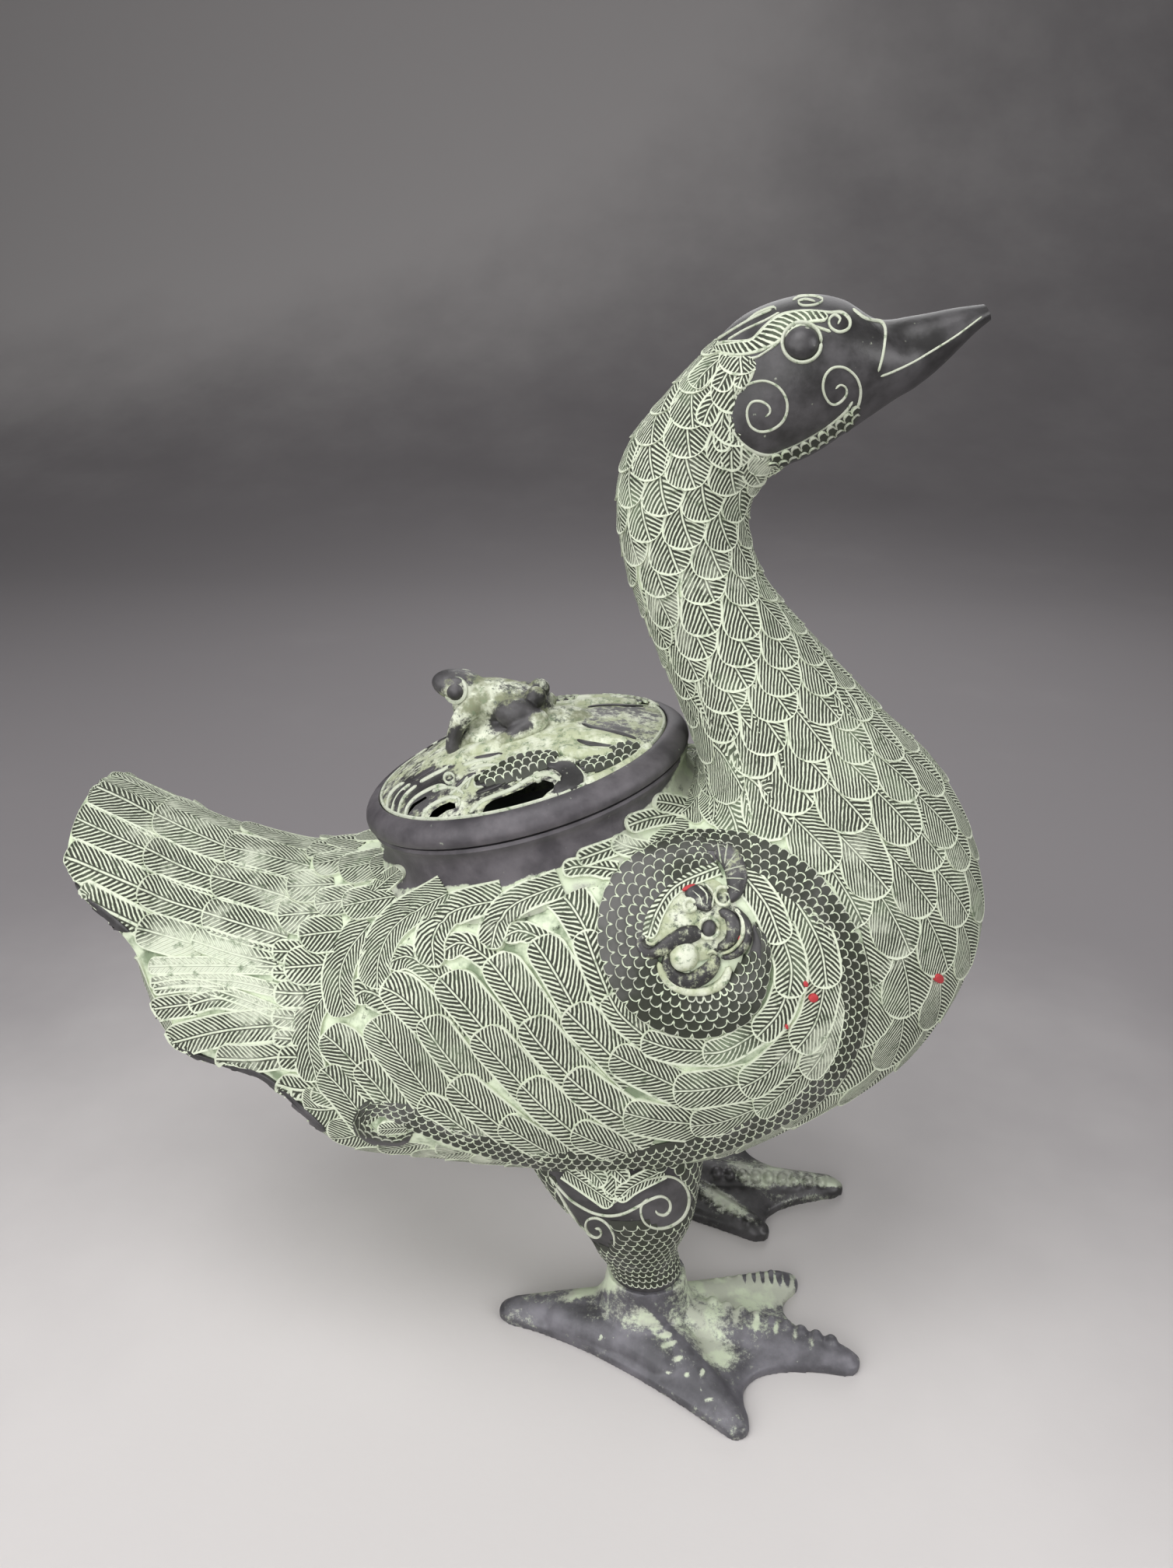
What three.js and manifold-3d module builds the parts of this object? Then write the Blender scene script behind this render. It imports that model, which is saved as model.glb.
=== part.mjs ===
// Bronze duck jar: a hollow duck casting on two webbed feet, with a lifting, pierced lid in its back
// and a frog for the lid's knob. Millimetres, +Z up, +X towards the bill, +Y the duck's left side.
// The origin is on the ground, under the middle of the bounding box.
import * as THREE from "three";
import { mergeVertices } from "three/addons/utils/BufferGeometryUtils.js";
import Module from "manifold-3d";

const wasm = await Module();
wasm.setup();

// Driving dimensions
const DEGREE = Math.PI / 180;
const wall = 3.6; // bronze wall of the body
const seam = 0.3; // gap left between two castings that touch
const centreX = 21.4; // from the profile's own zero to the middle of the bounding box
const farAway = 600; // size of a block that cuts off everything beyond a plane

const mouthTilt = 15 * DEGREE; // the mouth leans back, towards the tail
const mouthX = -20.5;
const mouthZ = 210.5; // centre of the seam between collar and lid
const mouthRadius = 50;
const collarRadius = 55.4;
const lidRadius = 57.5;
const ledgeRadius = 51.8; // inside of the lid ring, where the pierced plate lies
const ledgeHeight = 4.5;
const plateEdge = 3.2; // thickness of the pierced plate
const plateRise = 12; // how far the plate domes up from its edge
const flangeRadius = 49; // the lid ring's locating flange, inside the mouth
const flangeThickness = 1.9;
const flangeDepth = 4.5;

const footX = 27; // ankle
const footY = 38; // half the distance between the ankles
const ankleRadius = 13;
const ankleHeight = 22;
const webThickness = 3.5;
const tenonRadius = 8;
const tenonX = 18;
const tenonY = 36;
const dowelRadius = 5;

const eyeRadius = 5.3;
const eyeHeight = 3.4; // from the eye's seat to its top
const eyeAt = [63.5, 20.2, 353.3];
const eyeOut = [-0.09, 0.89, 0.44];

// The duck's profile, from the tail's end over the breast and up the neck to the bill's tip.
// Each row is one cross-section: x and z of its back point, x and z of its breast point,
// the level of its widest place as a fraction from breast to back, its half-width there,
// and how square its upper and lower halves are (2 is an ellipse).
const profile = [
  [-181, 200, -181, 180, 0.12, 28, 1.8, 2.5],
  [-174, 198, -174, 168, 0.08, 32, 1.8, 2.5],
  [-156, 190.5, -156, 150, 0.08, 38, 1.8, 2.5],
  [-149, 188, -149, 126.5, 0.07, 42, 1.8, 2.5],
  [-139, 184.5, -139, 114, 0.07, 46, 1.8, 2.5],
  [-120, 179, -120, 112, 0.08, 51, 1.8, 2.5],
  [-102, 176, -102, 106, 0.12, 56, 1.9, 2.4],
  [-80, 179, -80, 79, 0.24, 62, 2.3, 2.2],
  [-50, 189, -50, 71, 0.38, 69, 3.0, 2.1],
  [-20, 198, -20, 68, 0.45, 73, 3.3, 2.1],
  [10, 206, 15, 68, 0.48, 74, 3.2, 2.1],
  [30, 211, 53, 75, 0.5, 72, 2.7, 2.1],
  [37, 213, 89, 95, 0.52, 69, 2.3, 2.1],
  [39, 216, 117, 117, 0.55, 65, 2.2, 2.1],
  [40, 219, 132.5, 143, 0.58, 59, 2.1, 2.1],
  [40, 222, 138, 168, 0.62, 51, 2.1, 2.1],
  [39, 226, 132, 195, 0.64, 43, 2.1, 2.1],
  [36.5, 232, 118.5, 219, 0.62, 36, 2.05, 2.05],
  [30, 247, 97.5, 239, 0.58, 29, 2, 2],
  [21, 267, 75.5, 261, 0.54, 24, 2, 2],
  [13.5, 287, 57, 282, 0.52, 21, 2, 2],
  [10.7, 307, 50.5, 302, 0.5, 19, 2, 2],
  [14, 323, 56.5, 315, 0.5, 19, 2, 2],
  [24, 336.5, 69.5, 322, 0.5, 20.5, 2, 2],
  [37, 351, 79, 328, 0.5, 22.5, 2, 2],
  [48, 361, 86, 333, 0.5, 23, 2, 2],
  [63, 366, 93, 338, 0.5, 20.5, 2, 2],
  [75, 365, 98, 341, 0.45, 16, 2, 2],
  [86, 359.5, 103, 345, 0.4, 11, 2, 2],
  [97, 360.5, 108, 350, 0.4, 9, 2, 2],
  [108, 362.5, 113.5, 356, 0.4, 6.5, 2, 2],
  [116, 363.5, 118, 360, 0.45, 3.5, 2, 2],
];
const lastRow = profile.length - 1;

// Planes where the castings meet, each as a point and the direction towards the bill
const tailSeam = { at: [-101, 0, 160], along: [1, 0, 0.3] };
const neckSeam = { at: [77.5, 0, 225.5], along: [0.157, 0, 0.988] };
const headSeam = { at: [35, 0, 319], along: [0.185, 0, 0.983] };
const billSeam = { at: [85, 0, 350], along: [1, 0, 0.05] };

// Materials
const patina = new THREE.MeshStandardMaterial({ color: 0xa9bfa4, roughness: 0.8, metalness: 0.2 });
const darkBronze = new THREE.MeshStandardMaterial({ color: 0x4a4b4f, roughness: 0.5, metalness: 0.6 });
const plateBronze = new THREE.MeshStandardMaterial({ color: 0x8c9a86, roughness: 0.7, metalness: 0.3 });
const eyeBronze = new THREE.MeshStandardMaterial({ color: 0x3a3634, roughness: 0.4, metalness: 0.6 });

// Solids from geometries

function signedVolume(points, triangles) {
  const [a, b, c] = [new THREE.Vector3(), new THREE.Vector3(), new THREE.Vector3()];
  let total = 0;
  for (let i = 0; i < triangles.length; i += 3) {
    a.fromArray(points, 3 * triangles[i]);
    b.fromArray(points, 3 * triangles[i + 1]);
    c.fromArray(points, 3 * triangles[i + 2]);
    total += a.dot(b.cross(c));
  }
  return total / 6;
}

function toSolid(geometry) {
  const plain = geometry.clone();
  plain.deleteAttribute("normal");
  plain.deleteAttribute("uv");
  const merged = mergeVertices(plain, 1e-3);
  const points = Float32Array.from(merged.attributes.position.array);
  const corners = merged.index.array;
  const triangles = [];
  for (let i = 0; i < corners.length; i += 3) {
    const [a, b, c] = corners.slice(i, i + 3);
    if (a !== b && b !== c && c !== a) triangles.push(a, b, c);
  }
  if (signedVolume(points, triangles) < 0) triangles.reverse();
  const mesh = { numProp: 3, vertProperties: points, triVerts: Uint32Array.from(triangles) };
  return new wasm.Manifold(new wasm.Mesh(mesh));
}

function toMesh(name, solid, material, parent) {
  const { vertProperties, triVerts } = solid.getMesh();
  const geometry = new THREE.BufferGeometry();
  geometry.setAttribute("position", new THREE.BufferAttribute(vertProperties, 3));
  geometry.setIndex(new THREE.BufferAttribute(triVerts, 1));
  geometry.computeVertexNormals();
  const mesh = new THREE.Mesh(geometry, material);
  mesh.name = name;
  parent.add(mesh);
  return mesh;
}

function ringsToGeometry(rings) {
  const sides = rings[0].length;
  const points = rings.flat();
  const triangles = [];
  for (let i = 0; i < rings.length - 1; i++) {
    for (let j = 0; j < sides; j++) {
      const next = (j + 1) % sides;
      const [a, b] = [i * sides + j, i * sides + next];
      const [c, d] = [(i + 1) * sides + next, (i + 1) * sides + j];
      triangles.push(a, b, c, a, c, d);
    }
  }
  for (const end of [0, rings.length - 1]) {
    const middle = new THREE.Vector3();
    rings[end].forEach((point) => middle.add(point));
    points.push(middle.divideScalar(sides));
    for (let j = 0; j < sides; j++) {
      const [a, b] = [end * sides + j, end * sides + ((j + 1) % sides)];
      triangles.push(points.length - 1, ...(end === 0 ? [b, a] : [a, b]));
    }
  }
  const geometry = new THREE.BufferGeometry().setFromPoints(points);
  geometry.setIndex(triangles);
  return geometry;
}

function lathe(outline, segments) {
  const points = outline.map(([radius, height]) => new THREE.Vector2(radius, height));
  if (outline[0][0] > 0) points.push(points[0].clone());
  return new THREE.LatheGeometry(points, segments).rotateX(Math.PI / 2);
}

// Everything on the side of a plane that its direction points to, as a large block
function beyond({ at, along }, shift) {
  const direction = new THREE.Vector3(...along).normalize();
  const block = new THREE.BoxGeometry(farAway, farAway, farAway).translate(0, 0, farAway / 2 + shift);
  const turn = new THREE.Quaternion().setFromUnitVectors(new THREE.Vector3(0, 0, 1), direction);
  return toSolid(block.applyQuaternion(turn).translate(...at));
}

function before({ at, along }, shift) {
  return beyond({ at, along: along.map((value) => -value) }, shift);
}

// A rod of the given radius, centred on one point and running along a direction
function rod(radius, low, high, at, along, segments = 24) {
  const shape = new THREE.CylinderGeometry(radius, radius, high - low, segments);
  shape.rotateX(Math.PI / 2).translate(0, 0, (low + high) / 2);
  const direction = new THREE.Vector3(...along).normalize();
  const turn = new THREE.Quaternion().setFromUnitVectors(new THREE.Vector3(0, 0, 1), direction);
  return toSolid(shape.applyQuaternion(turn).translate(...at));
}

// The duck's loft

function profileAt(position) {
  const i = Math.min(Math.floor(position), lastRow - 1);
  const t = position - i;
  const [p1, p2] = [profile[i], profile[i + 1]];
  const p0 = i > 0 ? profile[i - 1] : p1.map((value, n) => 2 * value - p2[n]);
  const p3 = i + 2 <= lastRow ? profile[i + 2] : p2.map((value, n) => 2 * value - p1[n]);
  return p1.map((value, n) => {
    const linear = (p2[n] - p0[n]) * t;
    const square = (2 * p0[n] - 5 * value + 4 * p2[n] - p3[n]) * t * t;
    const cube = (3 * value - p0[n] - 3 * p2[n] + p3[n]) * t ** 3;
    return 0.5 * (2 * value + linear + square + cube);
  });
}

function superPower(value, exponent) {
  return Math.sign(value) * Math.abs(value) ** (2 / exponent);
}

// One cross-section, grown outwards or inwards, and never wider or taller than twice maxHalf
function crossSection(row, sides, grow, maxHalf = Infinity) {
  const [backX, backZ, breastX, breastZ, level, half, upper, lower] = row;
  const back = new THREE.Vector3(backX, 0, backZ);
  const breast = new THREE.Vector3(breastX, 0, breastZ);
  const up = back.clone().sub(breast).normalize();
  const reach = Math.min(back.distanceTo(breast) / 2 + grow, maxHalf);
  const middle = back.clone().add(breast).divideScalar(2);
  const base = middle.clone().addScaledVector(up, -reach);
  const width = Math.min(half + grow, maxHalf);
  const ring = [];
  for (let j = 0; j < sides; j++) {
    const angle = (2 * Math.PI * j) / sides;
    const square = angle < Math.PI ? upper : lower;
    const rise = Math.abs(superPower(Math.sin(angle), square));
    const share = angle < Math.PI ? level + (1 - level) * rise : level * (1 - rise);
    const point = base.clone().addScaledVector(up, 2 * reach * share);
    point.y = width * superPower(Math.cos(angle), square);
    ring.push(point);
  }
  return ring;
}

function duckLoft(from, to, { sides = 32, perRow = 2, grow = 0, maxHalf = Infinity } = {}) {
  const steps = Math.round((to - from) * perRow);
  const rings = [];
  for (let i = 0; i <= steps; i++) {
    rings.push(crossSection(profileAt(from + i / perRow), sides, grow, maxHalf));
  }
  return toSolid(ringsToGeometry(rings));
}

// The hollow under the tail: the arch's inside, carried straight down and out of the underside
function tailVault(from, to, thickness) {
  const [sides, perRow, depth] = [20, 1, 80];
  const rings = [];
  for (let i = 0; i <= (to - from) * perRow; i++) {
    const ring = crossSection(profileAt(from + i / perRow), sides, -thickness);
    const width = ring[0].y;
    for (let j = sides / 2 + 1; j < sides; j++) {
      ring[j].y = width * (-1 + (2 * (j - sides / 2 - 1)) / (sides / 2 - 2));
      ring[j].z = ring[0].z - depth;
    }
    rings.push(ring);
  }
  return toSolid(ringsToGeometry(rings));
}

// Body, tail, neck, head and bill
const bodyOuter = duckLoft(5, 18.5);
const bodyClearance = duckLoft(5, 18.5, { grow: seam });
const bodyInner = duckLoft(5, 19, { grow: -wall, sides: 24, perRow: 1 }).subtract(before(tailSeam, -wall));
const mouthAxis = [-Math.sin(mouthTilt), 0, Math.cos(mouthTilt)];
const mouthCut = rod(mouthRadius, -40, 40, [mouthX, 0, mouthZ], mouthAxis, 40);

function bodyShell() {
  let shell = bodyOuter.subtract(before(tailSeam, -seam / 2)).subtract(beyond(neckSeam, -seam / 2));
  shell = shell.subtract(bodyInner).subtract(mouthCut);
  for (const side of [-1, 1]) {
    shell = shell.subtract(rod(tenonRadius + seam, 55, 100, [tenonX, side * tenonY, 0], [0, 0, 1]));
  }
  return shell;
}

function tailFan() {
  const solid = duckLoft(0, 7.5).subtract(beyond(tailSeam, -seam / 2));
  return solid.subtract(tailVault(0.5, 8, 6));
}

function neckShell() {
  const solid = duckLoft(16, 23.5, { sides: 32 });
  const bore = duckLoft(15, 24, { sides: 20, grow: -wall, maxHalf: 16 });
  return solid.subtract(before(neckSeam, -seam / 2)).subtract(beyond(headSeam, -seam / 2)).subtract(bore);
}

// The left eye's seat and the way it looks, or the right one's
function eyePlace(side) {
  return [eyeAt, eyeOut].map(([x, y, z]) => [x, side * y, z]);
}

function headShell() {
  let solid = duckLoft(21, 29, { sides: 32 });
  solid = solid.subtract(before(headSeam, -seam / 2)).subtract(beyond(billSeam, -seam / 2));
  solid = solid.subtract(duckLoft(20.5, 25, { sides: 20, grow: -wall, maxHalf: 14 }));
  for (const side of [-1, 1]) {
    solid = solid.subtract(rod(eyeRadius + seam, -2 - seam, 6, ...eyePlace(side)));
  }
  return solid;
}

function bill() {
  return duckLoft(26.5, lastRow, { sides: 20 }).subtract(before(billSeam, -seam / 2));
}

function eye(side) {
  const [at, out] = eyePlace(side);
  const lens = lathe([
    [0, -2], [eyeRadius, -2], [eyeRadius, 0.8], [0.84 * eyeRadius, 2], [0.5 * eyeRadius, 3], [0, eyeHeight],
  ], 16);
  const outwards = new THREE.Vector3(...out).normalize();
  const turn = new THREE.Quaternion().setFromUnitVectors(new THREE.Vector3(0, 0, 1), outwards);
  return toSolid(lens.applyQuaternion(turn).translate(...at));
}

// The collar stands on the body round the mouth, and its foot follows the body's back
function mouthCollar(lidFrame) {
  const outline = [
    [mouthRadius, -seam], [mouthRadius, -60], [58.5, -60], [58.5, -22], [55.8, -14],
    [54.6, -6], [collarRadius, -seam],
  ];
  const ring = toSolid(lathe(outline, 48).applyMatrix4(lidFrame));
  const below = beyond({ at: [mouthX, 0, mouthZ - 52], along: mouthAxis.map((v) => -v) }, 0);
  const whole = ring.subtract(bodyClearance).subtract(below);
  const pieces = whole.decompose();
  return pieces.reduce((best, piece) => (piece.volume() > best.volume() ? piece : best));
}

// Lid, in its own frame: the seam plane is z = 0

function lidRing() {
  const outline = [
    [flangeRadius - flangeThickness, -flangeDepth], [flangeRadius, -flangeDepth], [flangeRadius, seam],
    [lidRadius - 0.4, seam], [lidRadius + 0.5, 1.4], [lidRadius + 0.6, 3], [lidRadius - 0.4, 5.4],
    [lidRadius - 2.4, 7.5], [lidRadius - 4.4, 8.4], [ledgeRadius, 8.2], [ledgeRadius, ledgeHeight],
    [flangeRadius - flangeThickness, ledgeHeight],
  ];
  return toSolid(lathe(outline, 48));
}

const plateRadius = ledgeRadius - seam;
const plateBottom = ledgeHeight + seam;
const plateRings = 5;
const plateSides = 40;

function domeHeight(radius) {
  const sphere = (plateRadius ** 2 + plateRise ** 2) / (2 * plateRise);
  return Math.sqrt(sphere ** 2 - radius ** 2) - (sphere - plateRise);
}

function domeSolid(grow) {
  const outline = [[0, plateBottom - 10]];
  outline.push([plateRadius, plateBottom - 10]);
  for (let i = plateRings; i >= 0; i--) {
    const radius = (plateRadius * i) / plateRings;
    outline.push([radius, plateBottom + plateEdge + domeHeight(radius) + grow]);
  }
  return toSolid(lathe(outline, plateSides));
}

// A see-through opening: an arc of the plate's edge closed by a curve on the inner side
function piercing(fromAngle, toAngle, inner, outer) {
  const shape = new THREE.Shape();
  const [a, b] = [fromAngle * DEGREE, toAngle * DEGREE];
  shape.absarc(0, 0, outer, a, b, false);
  const middle = (a + b) / 2;
  const bulge = 2 * inner - outer;
  shape.quadraticCurveTo(bulge * Math.cos(middle), bulge * Math.sin(middle),
    outer * Math.cos(a), outer * Math.sin(a));
  const block = new THREE.ExtrudeGeometry(shape, { depth: 60, bevelEnabled: false, curveSegments: 5 });
  return toSolid(block.translate(0, 0, -20));
}

const piercings = [
  [-98, -65, 41, 49.6], [-123, -106, 43, 49.6],
  [65, 98, 41, 49.6], [106, 123, 43, 49.6],
];
const knobPinRadius = 3;

function lidDome() {
  const outline = [[0, plateBottom + domeHeight(0)]];
  for (let i = 1; i <= plateRings; i++) {
    const radius = (plateRadius * i) / plateRings;
    outline.push([radius, plateBottom + domeHeight(radius)]);
  }
  for (let i = plateRings; i >= 0; i--) {
    const radius = (plateRadius * i) / plateRings;
    outline.push([radius, plateBottom + plateEdge + domeHeight(radius)]);
  }
  let plate = toSolid(lathe(outline, plateSides));
  for (const opening of piercings) plate = plate.subtract(piercing(...opening));
  return plate.subtract(rod(knobPinRadius + seam, 0, 40, [0, 0, 0], [0, 0, 1], 16));
}

// A ball stretched into an egg, turned about the side-to-side axis and put in place
function egg(centre, radii, tilt = 0) {
  const ball = new THREE.SphereGeometry(1, 12, 8).scale(...radii);
  return toSolid(ball.rotateY(tilt * DEGREE).translate(...centre));
}

// A round limb of changing radius through a list of points
function limb(points, radii, sides = 8) {
  const curve = new THREE.CatmullRomCurve3(points.map((point) => new THREE.Vector3(...point)));
  const steps = 2 * (points.length - 1);
  const frames = curve.computeFrenetFrames(steps, false);
  const rings = [];
  for (let i = 0; i <= steps; i++) {
    const centre = curve.getPointAt(i / steps);
    const place = (i / steps) * (radii.length - 1);
    const low = Math.min(Math.floor(place), radii.length - 2);
    const radius = radii[low] + (radii[low + 1] - radii[low]) * (place - low);
    const ring = [];
    for (let j = 0; j < sides; j++) {
      const angle = (2 * Math.PI * j) / sides;
      const point = centre.clone().addScaledVector(frames.normals[i], radius * Math.cos(angle));
      ring.push(point.addScaledVector(frames.binormals[i], radius * Math.sin(angle)));
    }
    rings.push(ring);
  }
  return toSolid(ringsToGeometry(rings));
}

const frogEye = { at: [-14.5, 5.2, 37], along: [-0.25, 0.9, 0.35], radius: 3 };

function frogKnob() {
  let frog = egg([0, 0, 27.5], [17, 9, 8], 26);
  frog = frog.add(egg([-14, 0, 37], [10, 7.5, 5.6], 24));
  frog = frog.add(egg([-2, 0, 19], [20, 12, 5.5]));
  for (const side of [-1, 1]) {
    frog = frog.add(egg([4.5, side * 9, 25], [9, 5, 6.5], 20));
    frog = frog.add(limb([[-11, side * 4, 32], [-17, side * 8, 27], [-21.5, side * 9.5, 17]], [4.5, 3, 2.6]));
    frog = frog.add(limb([[11, side * 10, 22], [4, side * 14, 20], [-5, side * 15, 18]], [4, 3.2, 2.8]));
  }
  frog = frog.subtract(domeSolid(seam));
  for (const side of [-1, 1]) {
    const [x, y, z] = frogEye.at;
    const [u, v, w] = frogEye.along;
    frog = frog.subtract(rod(frogEye.radius + seam, -1.5, 8, [x, side * y, z], [u, side * v, w], 16));
  }
  const pin = rod(knobPinRadius, 12, 24, [0, 0, 0], [0, 0, 1], 16);
  const pieces = frog.add(pin).decompose();
  return pieces.reduce((best, piece) => (piece.volume() > best.volume() ? piece : best));
}

function frogEyeBall(side) {
  const radius = frogEye.radius;
  const ball = lathe([[0, -1.2], [radius, -1.2], [radius, 0.9], [0.7 * radius, 2.1], [0, 2.6]], 16);
  const [x, y, z] = frogEye.at;
  const [u, v, w] = frogEye.along;
  const outwards = new THREE.Vector3(u, side * v, w).normalize();
  const turn = new THREE.Quaternion().setFromUnitVectors(new THREE.Vector3(0, 0, 1), outwards);
  return toSolid(ball.applyQuaternion(turn).translate(x, side * y, z));
}

// Legs and feet, for side 1 (left) or -1 (right)

// Height, centre along X, centre out from the middle, and the two half-widths
const legRows = [
  [22, 27.5, 38, 13.5, 12],
  [31, 26, 38, 13, 11.8],
  [41, 23, 39, 15, 14],
  [58, 21.5, 41, 21.5, 19],
  [75, 17, 42, 28, 23.5],
  [90, 14, 41, 32, 24],
  [104, 14, 38, 30, 19],
];

function leg(side) {
  const sides = 24;
  const rings = legRows.map(([height, x, y, alongX, alongY]) => {
    const ring = [];
    for (let j = 0; j < sides; j++) {
      const angle = (2 * Math.PI * j) / sides;
      const across = side * y + alongY * Math.sin(angle);
      ring.push(new THREE.Vector3(x + alongX * Math.cos(angle), across, height));
    }
    return ring;
  });
  let solid = toSolid(ringsToGeometry(rings)).subtract(bodyClearance);
  solid = solid.add(rod(tenonRadius, 60, 83, [tenonX, side * tenonY, 0], [0, 0, 1]));
  return solid.subtract(rod(dowelRadius + seam, 15, 33, [footX, side * footY, 0], [0, 0, 1], 16));
}

// Toe tips, as x and distance out from the middle, with the tip's radius. The left foot's toes turn in a
// little more than the right foot's.
const toes = {
  right: { hind: [-24, 40, 5.5], inner: [81, 14.5, 5.5], middle: [102, 49.5, 5.3], outer: [61.5, 80.5, 5.2] },
  left: { hind: [-18, 44, 5.5], inner: [71, 13.5, 5], middle: [104, 43.5, 5], outer: [61.5, 80.5, 5.2] },
};
// The web's edge from each toe to the next is pulled towards these points
const webBends = {
  right: { hind: [26, 24], inner: [70, 35], middle: [56, 52], outer: [10, 51] },
  left: { hind: [26, 25], inner: [73, 29], middle: [58, 50], outer: [14, 53] },
};
const moundRise = 5.5; // how far the web rises to the ankle, and over what distance from its edge
const moundReach = 13;

// The web from above, going round with the toes
function webOutline(name) {
  const order = Object.keys(toes[name]);
  const tip = (toe, turn) => {
    const [x, y, radius] = toes[name][toe];
    const angle = Math.atan2(y - footY, x - footX) + turn * DEGREE;
    return new THREE.Vector2(x + radius * Math.cos(angle), y + radius * Math.sin(angle));
  };
  const outline = [];
  order.forEach((toe, n) => {
    const next = order[(n + 1) % order.length];
    for (const turn of [-30, 30, 80]) outline.push(tip(toe, turn));
    const bend = new THREE.Vector2(...webBends[name][toe]);
    const edge = new THREE.QuadraticBezierCurve(tip(toe, 80), bend, tip(next, -80));
    for (let i = 1; i <= 6; i++) outline.push(edge.getPoint(i / 6));
  });
  return outline;
}

// The web swells from its edge up to the ankle
function webMound(name, side) {
  const outline = webOutline(name);
  const ring = (share, height) => outline.map(({ x, y }) => {
    const inwards = Math.hypot(x - footX, y - footY) * (1 - share);
    const rise = moundRise * (1 - Math.exp(-inwards / moundReach));
    const [px, py] = [footX + (x - footX) * share, footY + (y - footY) * share];
    return new THREE.Vector3(px, side * py, height + (height > 0 ? rise : 0));
  });
  const rings = [ring(1, 0), ...[1, 0.92, 0.8, 0.62, 0.42, 0.2].map((share) => ring(share, webThickness))];
  return toSolid(ringsToGeometry(rings));
}

function foot(name, side) {
  const { hind, inner, middle, outer } = toes[name];
  const at = (x, y, z) => [x, side * y, z];
  const between = (toe, share, z) => {
    return at(footX + (toe[0] - footX) * share, footY + (toe[1] - footY) * share, z);
  };
  let solid = webMound(name, side);
  const rolls = [
    [[at(footX, footY - 1, 7), between(hind, 0.5, 4), at(hind[0] + 1, hind[1], 2)], [9.5, 8, hind[2]]],
    [[at(footX, footY - 3, 7), between(inner, 0.5, 4), between(inner, 0.97, 2)], [9, 6.5, inner[2]]],
    [[at(footX, footY, 7), between(middle, 0.5, 4), between(middle, 0.98, 2.2)], [10, 8, middle[2]]],
    [[at(footX, footY, 7), between(outer, 0.5, 3.5), between(outer, 0.97, 2)], [10, 8, outer[2] - 0.2]],
    [[at(-6, 42, 3), at(10, 46.5, 3.5), at(24, 51, 3.5), at(37, 59, 3)], [7.5, 8.8, 9, 8.4]],
  ];
  for (const [points, radii] of rolls) solid = solid.add(limb(points, radii));
  const instep = lathe([[0, 0.5], [20.5, 0.5], [21.5, 5], [19.5, 9.5], [16.4, 14], [14, 18],
    [ankleRadius, ankleHeight - seam], [0, ankleHeight - seam]], 24);
  solid = solid.add(toSolid(instep.scale(1.04, 0.92, 1).translate(footX, side * footY, 0)));
  solid = solid.add(rod(dowelRadius, 10, 32, [footX, side * footY, 0], [0, 0, 1], 16));
  return solid.subtract(before({ at: [0, 0, 0], along: [0, 0, 1] }, 0));
}

// Assembly
const duckJar = new THREE.Group();
duckJar.position.x = centreX;

const lid = new THREE.Group();
lid.position.set(mouthX, 0, mouthZ);
lid.rotation.y = -mouthTilt;
lid.updateMatrix();
duckJar.add(lid);

toMesh("body_shell", bodyShell(), patina, duckJar);
toMesh("tail_fan", tailFan(), patina, duckJar);
toMesh("neck_shell", neckShell(), patina, duckJar);
toMesh("head_shell", headShell(), darkBronze, duckJar);
toMesh("bill", bill(), darkBronze, duckJar);
toMesh("mouth_collar", mouthCollar(lid.matrix), darkBronze, duckJar);
toMesh("lid_ring", lidRing(), darkBronze, lid);
toMesh("lid_dome", lidDome(), plateBronze, lid);
toMesh("frog_knob", frogKnob(), plateBronze, lid);
for (const [name, side] of [["left", 1], ["right", -1]]) {
  toMesh(`${name}_eye`, eye(side), eyeBronze, duckJar);
  toMesh(`frog_${name}_eye`, frogEyeBall(side), eyeBronze, lid);
  toMesh(`${name}_leg`, leg(side), darkBronze, duckJar);
  toMesh(`${name}_foot`, foot(name, side), darkBronze, duckJar);
}

export default duckJar;
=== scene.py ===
import math
from functools import lru_cache

import bmesh
import bpy
import numpy as np
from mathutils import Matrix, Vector
from mathutils.bvhtree import BVHTree


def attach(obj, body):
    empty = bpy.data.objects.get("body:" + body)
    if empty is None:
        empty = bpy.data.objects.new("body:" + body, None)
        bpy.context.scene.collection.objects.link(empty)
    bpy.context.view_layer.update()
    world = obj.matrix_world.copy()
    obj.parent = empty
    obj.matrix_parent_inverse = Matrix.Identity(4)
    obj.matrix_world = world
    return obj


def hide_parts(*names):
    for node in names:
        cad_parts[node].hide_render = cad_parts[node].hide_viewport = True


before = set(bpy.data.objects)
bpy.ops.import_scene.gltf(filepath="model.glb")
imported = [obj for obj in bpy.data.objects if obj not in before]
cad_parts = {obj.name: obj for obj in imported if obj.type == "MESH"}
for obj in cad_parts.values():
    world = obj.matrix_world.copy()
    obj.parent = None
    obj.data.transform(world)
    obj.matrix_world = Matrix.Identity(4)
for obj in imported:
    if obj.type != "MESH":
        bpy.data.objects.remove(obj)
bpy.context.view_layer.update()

MM = 0.001
UP = np.array([0.0, 0.0, 1.0])
CENTRE_X = 21.4  # from the drawing's zero to the frame's
rng = np.random.default_rng(7)

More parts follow.
